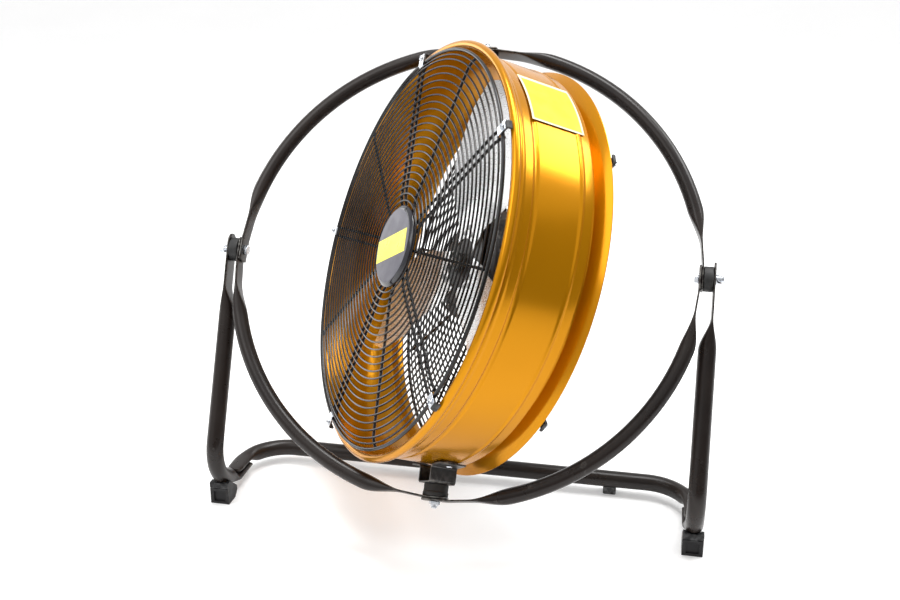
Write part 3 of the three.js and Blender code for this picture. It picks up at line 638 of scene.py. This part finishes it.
def crossbar():
    """The rear bar, with flattened tongues that lie on the legs' ends."""
    corner = LEG_X - BAR["bend"]
    straight_to = BAR["y"] - BAR["bend"]
    half = []
    for tip in (0.2, 0.8, 2, 4, 7, 12):
        half.append((LEG_X, BAR["tip"] + tip, 0,
                     math.sqrt(BAR["wide"] ** 2 - (BAR["wide"] - tip) ** 2)))
    for angle in steps(0, math.pi / 2, 20):
        half.append((corner + BAR["bend"] * math.cos(angle),
                     straight_to + BAR["bend"] * math.sin(angle), angle, None))
    other = [(-x, y, math.pi - angle, width) for x, y, angle, width in reversed(half)]
    rings = []
    for x, y, angle, width in half + other:
        squash = 1 - smooth(y, BAR["flat_from"], BAR["round_from"])
        side = Vector((-math.sin(angle), math.cos(angle), 0)).cross(Z)
        centre = Vector((x, y, mix(BAR["z"], BAR["flat_z"], squash)))
        rings.append(section(centre, side, Z, width or mix(BAR["tube"], BAR["wide"], squash),
                             mix(BAR["tube"], BAR["high"], squash), mix(2, 3, squash)))
    return loft(rings)


def foot():
    """A moulded boot: a stepped block with a shallow front recess and a seat for the bend."""
    front, high = FOOT["front"], FOOT["high"]
    side = [(front, 0), (-90, 0), (-81, 8), (-81, 15), (-103, high), (front, high)]
    body = side_plate(rounded(side, 1.6), LEG_X - FOOT["half"], LEG_X + FOOT["half"])
    recess = box(LEG_X - 8.5, LEG_X + 8.5, front - 2, front + 2.4, 4.5, 20)
    groove = box(LEG_X - 15, LEG_X + 15, front - 2, front + 1.2, 24.4, 25.8)
    bend = [Vector((LEG_X, LEG_BEND["y"] - LEG_BEND["radius"] * math.cos(a),
                    LEG_BEND["z"] - LEG_BEND["radius"] * math.sin(a)))
            for a in steps(-0.3, math.pi / 2 + 0.2, 20)]
    return cut(cut(cut(body, recess), groove), tube(bend, LEG_TUBE + 0.5, 32))


def rear_pad():
    half = PAD["half"]
    outline = rounded([(-half, -half), (half, -half), (half, half), (-half, half)], 2)
    rings = []
    for z, grow in ((0, -1), (1, 0), (PAD["high"] - 0.8, 0), (PAD["high"], -0.8)):
        scale = (half + grow) / half
        rings.append([(PAD["x"] + p.x * scale, PAD["y"] + p.y * scale, z) for p in outline])
    seat = tube([(PAD["x"] - 20, BAR["y"], BAR["z"]), (PAD["x"] + 20, BAR["y"], BAR["z"])],
                BAR["tube"] + 0.3, 32)
    return cut(loft(rings), seat)


def add_stand():
    for side, flip in (("right", Matrix()), ("left", Matrix.Scale(-1, 4, X))):
        add(f"leg_tube_{side}", moved(leg(), flip), TUBE, "stand", [f"{side}_leg"])
        add(f"foot_{side}", moved(foot(), flip), FOOT_PLASTIC, "stand", [f"{side}_foot"],
            bevel=0.7)
        add(f"rear_pad_{side}", moved(rear_pad(), flip), RUBBER, "stand", [f"{side}_rear_pad"])
        bolt = merged(hexagon(10.2, 9.8, 13.4), washer(6.6, 3.2, 13.4, 13.75, 0.15))
        bolt = moved(bolt, shift(LEG_X, -44, 0) @ turn("X", -90))
        add(f"leg_bolt_{side}", moved(bolt, flip), BRIGHT, "stand", [f"{side}_leg_bolt"])
    add("crossbar_tube", crossbar(), TUBE, "stand", ["rear_crossbar"])


# ---- hoop and its pivots

HOOP_TUBE = {"radius": 325, "tube": 10.75, "thick": 1.45, "wide": 13.5, "overlap": 17,
             "flat": 46, "round": 100, "inner": 321.7, "outer": 325}
SPACER = 17
HEX = 13
HEAD_HIGH = 5.3


def hoop_arc():
    """A quarter of the hoop, clockwise from an end that lies inside its neighbour."""
    size = HOOP_TUBE
    quarter = math.pi / 2
    overlap, flat, full = (size[key] / size["radius"] for key in ("overlap", "flat", "round"))
    near = steps(-overlap, -overlap * 0.88, 2) + [overlap] + steps(flat, full, 12)
    angles = near + steps(full, quarter - full, 24)[1:-1] + [quarter - a for a in near[::-1]]
    rings = []
    for angle in angles:
        end = 0 if angle < quarter / 2 else quarter
        to_end = min(angle, quarter - angle)
        roundness = smooth(to_end, flat, full)
        flat_radius = size["inner"] if end == 0 else size["outer"]
        out = spun(-angle)
        centre = out * mix(flat_radius, size["radius"], roundness)
        if to_end < overlap + 0.001:
            out = spun(-end)
            onward = spun(-end - quarter)
            centre = out * flat_radius + onward * ((angle - end) * size["radius"])
        wide = mix(size["wide"], size["tube"], roundness)
        if to_end < -overlap * 0.86:
            wide -= 7 * ((-to_end / overlap - 0.86) / 0.14) ** 2
        rings.append(section(centre, out, Y, mix(size["thick"], size["tube"], roundness), wide,
                             mix(5, 2, roundness)))
    return loft(rings)


def wing_nut():
    """A wing nut about the Y axis, its seat at y = 0 and its wings towards +y."""
    hub = lathe(rounded([(4.1, 0), (7, 0), (5.4, -8.5), (4.1, -8.5)], 0.8), 32)
    wing_side = [(3.5, 0.8), (8, 1.2), (11, 4), (13, 8.6), (12.2, 11.6), (9.6, 11.8), (7.6, 9.2),
                 (3.5, 7.5)]
    outline = rounded(wing_side, 2.4, 4)
    wing = loft([[(x, y, z) for x, y in outline] for z in (-1.3, 1.3)])
    return merged(hub, wing, moved(wing, turn("Y", 180)))


def add_hoop():
    arc = hoop_arc()
    for i, name in enumerate(("lower_right", "lower_left", "upper_left", "upper_right")):
        add(f"hoop_tube_{name}", moved(arc, turn("Y", 90 * i)), TUBE, "hoop",
            [f"hoop_arc_{name}"])


def add_pivots():
    inside = HOOP_TUBE["inner"] - HOOP_TUBE["thick"] - 0.3
    outside = HOOP_TUBE["outer"] + HOOP_TUBE["thick"]
    leg_inside = LEG_FLAT["x"] - LEG_FLAT["thick"]
    leg_outside = LEG_FLAT["x"] + LEG_FLAT["thick"]
    for side, angle in (("right", -90), ("left", 90)):
        outward = turn("Z", angle)
        bolt = merged(moved(hexagon(HEX, 0, HEAD_HIGH), shift(y=inside)),
                      moved(thread(4, 0, 33), shift(y=inside) @ turn("Z", 180)))
        add(f"pivot_bolt_{side}", moved(bolt, outward), BRIGHT, "hoop", [f"{side}_pivot_bolt"])
        spacer = washer(SPACER, 4.6, -(leg_inside - 0.3), -(outside + 0.3), 1.2)
        add(f"pivot_spacer_{side}", moved(spacer, shift(z=PIVOT_HIGH) @ outward), RUBBER, "stand",
            [f"{side}_pivot_spacer"])
        nut = moved(wing_nut(), shift(y=leg_outside + 0.3) @ turn("Y", 35 if angle < 0 else -35))
        add(f"wing_nut_{side}", moved(nut, outward), BRIGHT, f"{side}_wing", [f"{side}_wing_nut"],
            bevel=0.35)


# ---- swivel brackets

BRACKET = {"half": 17.5, "deep": 19, "sheet": 2.2, "flange": 42, "base": 304.2}


def bracket():
    """The folded bracket under the drum, with a flange either side to take a screw."""
    half, sheet, base = BRACKET["half"], BRACKET["sheet"], BRACKET["base"]
    middle = half - sheet / 2
    right = [(middle, -base + sheet / 2), (middle, -281.6), (BRACKET["flange"], -278.9)]
    path = [(-x, z) for x, z in reversed(right)] + right
    return strip(path, sheet, -BRACKET["deep"], BRACKET["deep"], 4)


def add_swivels():
    inside = HOOP_TUBE["inner"] - HOOP_TUBE["thick"]
    outside = HOOP_TUBE["outer"] + HOOP_TUBE["thick"]
    head_seat = BRACKET["base"] - BRACKET["sheet"] - 0.3
    down = turn("X", -90)
    for name, half_turn in (("lower", Matrix()), ("upper", turn("Y", 180))):
        add(f"bracket_{name}", moved(bracket(), half_turn), SHEET, "drum",
            [f"{name}_swivel_bracket"], bevel=0.4)
        screws = []
        for x in (-30, 30):
            tilted = turn("Y", math.degrees(math.atan2(x, 281)))
            head = moved(cross_head(4.2, 2.6), turn("X", 90))
            screws.append(moved(head, half_turn @ tilted @ shift(z=-283.4)))
        add(f"bracket_screws_{name}", merged(*screws), BRIGHT, "drum")
        bolt = merged(moved(hexagon(HEX, 0, HEAD_HIGH), shift(y=head_seat)),
                      moved(thread(4, 0, outside + 9.5 - head_seat),
                            shift(y=head_seat) @ turn("Z", 180)))
        foot_at, top, end = 0.3 - inside, -BRACKET["base"] - 0.3, -outside - 4.6
        spacer = lathe(rounded([(4.6, foot_at), (SPACER, foot_at), (SPACER, 5 - inside),
                                (SPACER - 0.8, 6 - inside), (SPACER - 0.8, top), (4.6, top)],
                               0.8), 64)
        nut = merged(hexagon(HEX, end, -outside - 0.3),
                     lathe(rounded([(4.2, end), (5.6, end), (5.2, end - 1.8), (4.2, end - 1.8)],
                                   0.4), 28))
        for label, data, material in (("bolt", bolt, BRIGHT), ("spacer", spacer, RUBBER),
                                      ("nut", nut, BRIGHT)):
            add(f"swivel_{label}_{name}", moved(data, half_turn @ down), material, "hoop",
                [f"{name}_swivel_{label}"])


# ---- drum

SHELL = {"bead": 5.7, "bead_radius": 283.1, "bead_ahead": 85.8, "barrel": 278.3,
         "inner": 275.5, "throat": 264, "lip": 286.8}
LABEL = {"from": 24, "to": 43, "radius": 281, "front": 57, "rear": -17, "border": 3}


def shell():
    """The wall's section: a rolled bead, small ribs and grooves, and a flared rear flange."""
    bead = []
    for part in steps(-0.45, 1, 16):
        angle = part * math.pi
        bead.append((SHELL["bead_radius"] + SHELL["bead"] * math.sin(angle),
                     SHELL["bead_ahead"] + SHELL["bead"] * math.cos(angle)))
    b, throat, lip = SHELL["barrel"], SHELL["throat"], SHELL["lip"]
    outside = [(b + 0.9, 78), (b + 2.4, 74.5), (b + 1.2, 71), (b + 1.2, 60), (b - 1.4, 58),
               (b - 1.4, 54), (b, 52), (b, -5.5), (b + 1.7, -8.5), (b, -11.5), (b, -24.5),
               (throat, -28.5), (throat, -35), (b - 1, -41), (lip, -46.5)]
    inside = [(lip - 1.6, -48), (b - 2.6, -43), (throat - 1.5, -37), (throat - 1.5, -27.5),
              (SHELL["inner"], -23.5), (SHELL["inner"], 84)]
    return lathe(bead + rounded(outside + inside, 1.6, closed=False), 180)


def film(start, end, front, rear, radius, thick):
    """A curved film on the drum, between two angles and two distances ahead."""
    rings = []
    for angle in steps(math.radians(start), math.radians(end), 14):
        out = spun(angle)
        rings.append([out * (radius + lift) + Vector((0, -ahead, 0))
                      for lift, ahead in ((0, front), (thick, front - 0.1), (thick, rear + 0.1),
                                          (0, rear))])
    return loft(rings)


def add_label():
    size = LABEL
    edge = math.degrees(size["border"] / size["radius"])
    border = film(size["from"], size["to"], size["front"], size["rear"],
                  size["radius"] - 1.3, 0.35)
    field = film(size["from"] + edge, size["to"] - edge * 2.4, size["front"] - size["border"],
                 size["rear"] + size["border"], size["radius"] - 1.0, 0.15)
    add("label_border", border, LABEL_PALE, "drum", ["drum_label"], slot="label_film")
    add("label_field", field, LABEL_YELLOW, "drum")


# ---- guards and badge

RING_OUTER = 248.9
RING_PITCH = 9.75
RING_COUNT = 20
RIM = 273
CLIP_STEP = 72
SHOULDER = (265.7, 258.6)
SPOKE_GAP = 6.5
GUARD_WIRE, SPOKE_BEHIND = 1.3, 3.3


def dome(radius, edge, middle):
    return mix(edge, middle, (RING_OUTER - radius) / (RING_OUTER - 60))


def spokes(path):
    """Radial wires on a (radius, ahead) path: pairs at the clips and single ones between."""
    made = []
    line = rounded(path, 6, closed=False)
    pairs = [(90 - CLIP_STEP * i, (-SPOKE_GAP, SPOKE_GAP)) for i in range(5)]
    singles = [(54 - CLIP_STEP * i, (0,)) for i in range(5)]
    for angle, offsets in pairs + singles:
        for offset in offsets:
            points = [(math.sqrt(max(r ** 2 - offset ** 2, 1)), -a, offset) for r, a in line]
            rod = tube(points, 2.0, 10)
            made.append(moved(rod, turn("Y", -angle)))
    return merged(*made)


def guard_rings(edge, middle, shoulder, last=RING_COUNT):
    """The rim, the two shoulder rings and the dome's rings."""
    rings = [wire_ring(RIM, shoulder[0], 2.5, 160, 12)]
    for radius, ahead in zip(SHOULDER, shoulder[1:]):
        rings.append(wire_ring(radius, ahead, GUARD_WIRE, 144))
    for i in range(last):
        radius = RING_OUTER - RING_PITCH * i
        segments = int(mix(72, 144, radius / RING_OUTER))
        rings.append(wire_ring(radius, dome(radius, edge, middle), GUARD_WIRE, segments))
    return merged(*rings)


def add_guards():
    edge, middle = 101.8, 104.0
    path = [(44, 97.1), (58, 97.1), (70, dome(70, edge, middle) - SPOKE_BEHIND),
            (RING_OUTER, edge - SPOKE_BEHIND), (SHOULDER[1], 98), (SHOULDER[0], 95.5),
            (RIM - 1.5, 93.2)]
    wires = merged(guard_rings(edge, middle, (97.2, 98.8, 101.3)), spokes(path))
    plate_data = washer(50, 8, 98.1, 100.5, 0.5, 64)
    add("guard_front_wires", wires, WIRE, "drum", ["front_guard"])
    add("guard_front_plate", plate_data, SHEET, "drum", slot="guard_paint")

    rear_edge, rear_middle = -56.2, -57.8
    rear_path = [(70, -54.4), (RING_OUTER, rear_edge + SPOKE_BEHIND), (SHOULDER[1], -52.6),
                 (SHOULDER[0], -50.4), (RIM - 1.5, -48.4)]
    wires = merged(guard_rings(rear_edge, rear_middle, (-51.6, -53.2, -55.7), 18),
                   spokes(rear_path))
    add("guard_rear_wires", wires, WIRE, "drum", ["rear_guard"])
    add("guard_rear_collar", washer(74, 68, -59.6, -56.4, 0.8, 96), SHEET, "drum",
        slot="guard_paint")


BADGE = {"radius": 57, "rear": 100.8, "front": 108, "face": 51.5, "bevel": 104.6,
         "band_top": 15.5, "band_foot": -16.5, "band_end": 43}


def badge_band():
    """The plain band: a slanted stripe across the badge's face, cut by the face's edge."""
    reach = BADGE["face"] - 1.2
    outline = []
    for offset, towards in ((BADGE["band_top"], 1), (BADGE["band_foot"], -1)):
        left = -math.sqrt(reach ** 2 - offset ** 2)
        row = []
        for x in steps(left, BADGE["band_end"], 12):
            limit = math.sqrt(reach ** 2 - x ** 2)
            row.append((x, max(min(offset, limit), -limit)))
        outline += row if towards > 0 else row[::-1]
    return plate(outline, -BADGE["front"] - 0.25, -BADGE["front"] + 0.2)


def add_badge():
    size = BADGE
    profile = [(0, size["rear"]), (size["radius"], size["rear"]),
               (size["radius"], size["bevel"]), (size["face"], size["front"] - 0.15),
               (0, size["front"] - 0.15)]
    body = lathe(rounded(profile, 2.2, 5, closed=False), 120, closed=False)
    add("badge_body", body, BADGE_SIDE, "drum", ["hub_badge"])
    add("badge_face", disc(size["face"] - 0.8, size["front"] - 1, size["front"], 0.15, 120),
        BADGE_FACE, "drum")
    add("badge_band", badge_band(), BAND, "drum")


# ---- clips

CLIP = {"half": 6.2, "sheet": 1.5, "hook": 266.3, "bend": 267.8, "end": 284.4, "screw": 280,
        "clamp": 2.6, "clamp_from": 277, "clamp_edge": 286.4}
CLIP_SEATS = (("front", 100.0, 92.5, 1), ("rear", -54.4, -49.2, -1))
SCREW_HEAD = cross_head(4.4, 2.7)


def clip_parts(seat, edge_far, side):
    """A plate over the rim wire, its screw and the black edge clamp; side is 1 at the front."""
    half, edge = CLIP["half"], CLIP["clamp_edge"]
    over, under = seat + side * 0.8, seat - side * 1.2
    bent = strip([(CLIP["hook"], -(seat - side * 4)), (CLIP["bend"], -over),
                  (CLIP["end"], -over)], CLIP["sheet"], -half, half, 1.6)
    clamp_path = [(CLIP["clamp_from"], -under), (edge, -under), (edge, -edge_far)]
    clamp = strip(clamp_path, CLIP["clamp"], -half + 0.6, half - 0.6, 2.2)
    head = moved(SCREW_HEAD, turn("Z", 0 if side > 0 else 180))
    head = moved(head, shift(CLIP["screw"], -(seat + side * 1.6), 0))
    swap = Matrix(((1, 0, 0, 0), (0, 0, 1, 0), (0, -1, 0, 0), (0, 0, 0, 1)))
    return moved(bent, swap), moved(clamp, swap), head


def add_clips():
    for name, seat, far, side in CLIP_SEATS:
        parts = clip_parts(seat, far, side)
        for i in range(5):
            spin = turn("Y", -(90 - CLIP_STEP * i))
            strap, clamp, head = (moved(part, spin) for part in parts)
            add(f"clip_{name}_{i + 1}", strap, BRIGHT, "drum", [f"{name}_clip_{i + 1}"],
                bevel=0.3)
            add(f"clip_clamp_{name}_{i + 1}", clamp, RUBBER, "drum", bevel=0.4)
            add(f"clip_screw_{name}_{i + 1}", head, BRIGHT, "drum")


# ---- motor

MOTOR = 75
MOTOR_WALL = 3
MOTOR_BODY = {"rear": -43, "front": -15.3, "ribs": 10, "pitch": 2.4}
FRONT_BELL = {"face": -8.5, "rim": -15, "nose": -4, "towards": 1}
REAR_BELL = {"face": -49.6, "rim": -43.3, "nose": -54.6, "towards": -1}
MOTOR_SCREWS = {"radius": 67, "ahead": -8.5}
MOUNT = {"radius": 88, "bore": 22, "front": -49.9, "rear": -52.9, "bolts": 82}


def bell(face, rim, nose, towards):
    """An end bell: a dished disc with a rounded rim and a nose; towards is 1 at the front."""
    inner, bore, well = MOTOR - MOTOR_WALL, 7.5, 16
    nose_in, face_in = nose - towards * 2, face - towards * 4
    dish = face - towards * 1.6
    profile = [(bore, nose), (17.5, nose), (19.5, nose_in), (21.5, dish), (58, dish),
               (62, face), (inner, face), (MOTOR, face - towards * 3), (MOTOR, rim),
               (inner, rim), (inner, face_in), (well, face_in), (well, nose_in),
               (bore, nose_in)]
    return lathe(rounded(profile, 1.2), 96)


def add_motor():
    plate_data = washer(MOUNT["radius"], MOUNT["bore"], MOUNT["rear"], MOUNT["front"], 0.8, 96)
    add("motor_plate", plate_data, SHEET, "drum", ["motor_mount"])
    head = merged(hexagon(8, 0, 3.6), washer(5.4, 2.5, -0.01, 0.8, 0.2))
    bolts = [moved(head, turn("Y", 30 + 60 * i) @ shift(MOUNT["bolts"], -MOUNT["front"], 0))
             for i in range(6)]
    add("motor_plate_bolts", merged(*bolts), BRIGHT, "drum")
    add("motor_bell_front", bell(**FRONT_BELL), MOTOR_BLACK, "drum", ["motor_front_bell"])
    add("motor_bell_rear", bell(**REAR_BELL), MOTOR_BLACK, "drum", ["motor_rear_bell"])
    rear, front, inner = MOTOR_BODY["rear"], MOTOR_BODY["front"], MOTOR - MOTOR_WALL
    ribs = [(MOTOR, rear)]
    for ahead in steps(rear + 1, front - MOTOR_BODY["pitch"], MOTOR_BODY["ribs"]):
        ribs += [(MOTOR, ahead), (MOTOR - 1, ahead + 0.4), (MOTOR - 1, ahead + 1.1),
                 (MOTOR, ahead + 1.5)]
    ribs += [(MOTOR, front), (inner, front), (inner, rear)]
    add("motor_body", lathe(ribs, 96), MOTOR_BLACK, "drum", ["motor_housing"])
    seat = shift(MOTOR_SCREWS["radius"], -MOTOR_SCREWS["ahead"], 0)
    heads = [moved(cross_head(3.6, 2.2), turn("Y", 45 + 90 * i) @ seat) for i in range(4)]
    add("motor_screws", merged(*heads), BRIGHT, "drum")


# ---- fan

HUB = {"radius": 56, "ahead": 1, "sheet": 3, "bore": 6.4, "boss": 14, "boss_front": 12,
       "boss_rear": -2.8}
BLADE_RADII = (36, 47, 58, 66, 74, 84, 95, 108, 122, 138, 155, 173, 191, 209, 226, 240, 250, 256,
               259, 260)
BLADE_ROOT, BLADE_TIP = BLADE_RADII[0], BLADE_RADII[-1]
BLADES = {"ahead": 2.4, "first": 70, "count": 3, "half_sheet": 0.8, "root_half": 30,
          "tip_half": 80, "camber": 6, "sweep": -0.08, "root_pitch": 16, "tip_pitch": 11}
RIVETS = ((42, -9), (42, 9), (51, 0))


def blade():
    """A twisted sheet blade, flat where it lies on the hub, with a rolled sheet's bow."""
    across = 20
    rings = []
    for radius in BLADE_RADII:
        part = (radius - BLADE_ROOT) / (BLADE_TIP - BLADE_ROOT)
        pitched = smooth(radius, HUB["radius"] + 2, 110)
        half = mix(BLADES["root_half"], BLADES["tip_half"], smooth(part, -0.1, 0.62))
        half -= 14 * smooth(part, 0.8, 1)
        half -= 5 * smooth(part, 0.975, 1)
        pitch = math.radians(mix(BLADES["root_pitch"], BLADES["tip_pitch"], part)) * pitched
        front, back = [], []
        for t in steps(-1, 1, across):
            angle = t * half * math.cos(pitch) / radius + BLADES["sweep"] * part
            bow = BLADES["camber"] * (1 - t * t) * pitched
            ahead = BLADES["ahead"] + t * half * math.sin(pitch) - bow
            out = spun(angle) * radius
            thick = BLADES["half_sheet"] if abs(t) < 0.99 else 0.5
            front.append(out + Vector((0, -ahead - thick, 0)))
            back.append(out + Vector((0, -ahead + thick, 0)))
        rings.append(front + back[::-1])
    return loft(rings)


def rivet():
    """A domed rivet head on a sheet, its seat at y = 0 and its top at -y."""
    profile = [(0, -0.8), (4.2, -0.8), (4.2, 0.5), (3.2, 1.6), (1.6, 2.1), (0, 2.2)]
    return lathe(rounded(profile, 0.5, closed=False), 20, closed=False)


def add_fan():
    hub = merged(washer(HUB["radius"], HUB["bore"], HUB["ahead"] - HUB["sheet"], HUB["ahead"],
                        0.6, 72),
                 washer(HUB["boss"], HUB["bore"], HUB["boss_rear"], HUB["boss_front"], 0.8, 40))
    add("fan_spider", hub, SHEET, "rotor", ["fan_hub"])
    rivets = []
    for i in range(BLADES["count"]):
        spin = turn("Y", -(BLADES["first"] + 360 / BLADES["count"] * i))
        add(f"blade_sheet_{i + 1}", moved(blade(), spin), BLADE, "rotor", [f"fan_blade_{i + 1}"],
            sharp=60)
        for radius, lift in RIVETS:
            seat = shift(radius, -BLADES["ahead"] - BLADES["half_sheet"], lift)
            rivets.append(moved(rivet(), spin @ seat))
    add("blade_rivets", merged(*rivets), STEEL, "rotor")


# ---- controls

BOX = {"radius": 60, "front": -53.2, "rear": -70, "wall": 3}
KNOB = {"up": 14, "hole": 4, "radius": 17, "front": -70.5, "rear": -86, "end": 15, "ridges": 24,
        "handle": 14.5, "handle_end": 89.6}
DIAL = {"from": 20, "to": 25, "marks": 4, "step": 40}
GLAND = {"up": -34, "hole": 8.5, "bore": 4.2, "nut": 19, "seat": -70.3, "nut_rear": -75,
         "rear": -79, "thread": -62}


def add_controls():
    radius, front, rear, wall = BOX["radius"], BOX["front"], BOX["rear"], BOX["wall"]
    profile = [(radius, front), (radius, rear + 1), (radius - 3, rear), (0, rear),
               (0, rear + wall), (radius - wall, rear + wall), (radius - wall, front)]
    cup = lathe(rounded(profile + [profile[0]], 1.5, 4, closed=False), 120, closed=False)
    at_knob, at_gland = shift(z=KNOB["up"]), shift(z=GLAND["up"])
    cup = cut(cup, moved(disc(KNOB["hole"], rear - 8, rear + 8, 0.1, 24), at_knob))
    cup = cut(cup, moved(disc(GLAND["hole"], rear - 8, rear + 8, 0.1, 32), at_gland))
    add("control_cup", cup, CONTROL, "drum", ["control_housing"])

    knob_profile = [(0, KNOB["front"]), (KNOB["radius"], KNOB["front"]),
                    (KNOB["radius"] - 0.8, KNOB["rear"] + 1.5), (KNOB["end"], KNOB["rear"]),
                    (0, KNOB["rear"])]
    grip = lathe(rounded(knob_profile, 1.2, closed=False), 72, closed=False)
    ridge = box(KNOB["radius"] - 1.1, KNOB["radius"] - 0.1, 71.5, 83, -0.7, 0.7)
    ridges = [moved(ridge, turn("Y", 360 / KNOB["ridges"] * i)) for i in range(KNOB["ridges"])]
    handle = box(-2.8, 2.8, 85, KNOB["handle_end"], -KNOB["handle"], KNOB["handle"])
    add("knob_grip", moved(merged(grip, handle, *ridges), at_knob), CONTROL, "knob",
        ["speed_knob"], bevel=0.5)
    pointer = box(-0.7, 0.7, KNOB["handle_end"] - 0.1, KNOB["handle_end"] + 0.3, 5, 14)
    add("knob_pointer", moved(pointer, at_knob), LABEL_PALE, "knob")
    tick = box(-0.6, 0.6, -rear - 0.1, -rear + 0.3, DIAL["from"], DIAL["to"])
    ticks = [moved(tick, at_knob @ turn("Y", DIAL["step"] * i)) for i in range(DIAL["marks"])]
    add("dial_ticks", merged(*ticks), LABEL_PALE, "drum")

    outer, bore, back = GLAND["hole"] - 0.5, GLAND["bore"], GLAND["nut_rear"]
    cap = [(bore, back), (outer, back), (outer, back - 1), (outer - 0.8, GLAND["rear"] + 0.4),
           (bore, GLAND["rear"])]
    gland = merged(hexagon(GLAND["nut"], back, GLAND["seat"], 0.8), lathe(rounded(cap, 0.7), 40),
                   washer(outer, bore, GLAND["seat"] - 0.2, GLAND["thread"], 0.4))
    add("gland_body", moved(gland, at_gland), CONTROL, "drum", ["cable_gland"])


def finish_cad_nodes():
    """Materials and smooth shading for the hidden inner parts that stay as they are."""
    looks = {"motor_stator": COPPER, "motor_rotor_core": STEEL, "motor_shaft": STEEL,
             "front_bearing": STEEL, "rear_bearing": STEEL, "speed_switch": CONTROL,
             "run_capacitor": CAN}
    for name, material in looks.items():
        node = frame["nodes"][name]
        node.data.materials.clear()
        node.data.materials.append(material)
        node.data.shade_smooth()
        node.data.set_sharp_from_angle(angle=math.radians(32))
        soften(node, 0.4)


# ---- studio

WORLD_GLOW = 0.8
PAPER_GLOW = 0.22
FLAG_LOW, FLAG_HIGH = 0.02, 1.5


def studio_material(name, dark, light, glow):
    """Matt paper, a little uneven; the glow lifts it to clean white."""
    n = Nodes(name)
    n.surface(n.ramp(n.noise(1.5, 2), (dark,) * 3, (light,) * 3),
              n.spread(n.noise(3, 3), 0.5, 0.6))
    n.set("Specular IOR Level", 0.1)
    n.set("Emission Color", (1, 1, 1, 1))
    n.set("Emission Strength", glow)
    return n.material


def add_floor():
    reach, rise = 9, 6
    line = [(-14, 0)] + [(mix(reach - 3, reach, math.sin(a)), 3 * (1 - math.cos(a)))
                         for a in steps(0, math.pi / 2, 16)] + [(reach, rise)]
    verts = [(x, y, z) for x in (-16, 16) for y, z in line]
    count = len(line)
    faces = [(i, i + 1, count + i + 1, count + i) for i in range(count - 1)]
    floor = new_object("studio_floor", (verts, faces))
    floor.data.shade_smooth()
    floor.data.materials.append(studio_material("studio_paper", 0.86, 0.88, PAPER_GLOW))


def add_flag(name, start, end):
    """A dark card beside the set, which the glossy drum mirrors as a dark band."""
    corners = [(*start, FLAG_LOW), (*end, FLAG_LOW), (*end, FLAG_HIGH), (*start, FLAG_HIGH)]
    flag = new_object(name, (corners, [(0, 1, 2, 3)]))
    flag.data.materials.append(studio_material("flag_cloth", 0.12, 0.14, 0))
    flag.visible_camera = False


def add_light(name, place, target, size, power):
    data = bpy.data.lights.new(name, "AREA")
    data.shape = "RECTANGLE"
    data.size, data.size_y = size
    data.energy = power
    light = link_new(name, data)
    light.location = place
    light.rotation_euler = (Vector(target) - Vector(place)).to_track_quat("-Z", "Y").to_euler()


def add_studio():
    world = bpy.data.worlds.new("studio")
    world.use_nodes = True
    world.node_tree.nodes["Background"].inputs["Color"].default_value = (1, 1, 1, 1)
    world.node_tree.nodes["Background"].inputs["Strength"].default_value = WORLD_GLOW
    SCENE.world = world
    centre = (0, 0, 0.3)
    add_light("key", (-1.8, -1.4, 2.8), centre, (2.2, 2.2), 45)
    add_light("right_box", (2.0, 0.9, 2.4), centre, (1.4, 0.9), 40)
    add_light("top", (0.1, 0.3, 3.0), centre, (2.0, 0.9), 75)
    add_light("left_box", (-2.5, 1.3, 0.9), (0, 0, 0.35), (1.6, 1.2), 16)
    add_flag("right_flag", (1.9, -2.6), (1.9, 0.8))
    add_flag("front_flag", (-0.9, -3.0), (2.1, -2.7))
    view = SCENE.view_settings
    view.view_transform = "Standard"
    view.look = "None"


add_stand()
add_hoop()
add_pivots()
add_swivels()
add("drum_wall", shell(), YELLOW, "drum", ["drum_shell"], sharp=50)
add_label()
add_guards()
add_badge()
add_clips()
add_motor()
add_fan()
add_controls()
finish_cad_nodes()
add_floor()
add_studio()
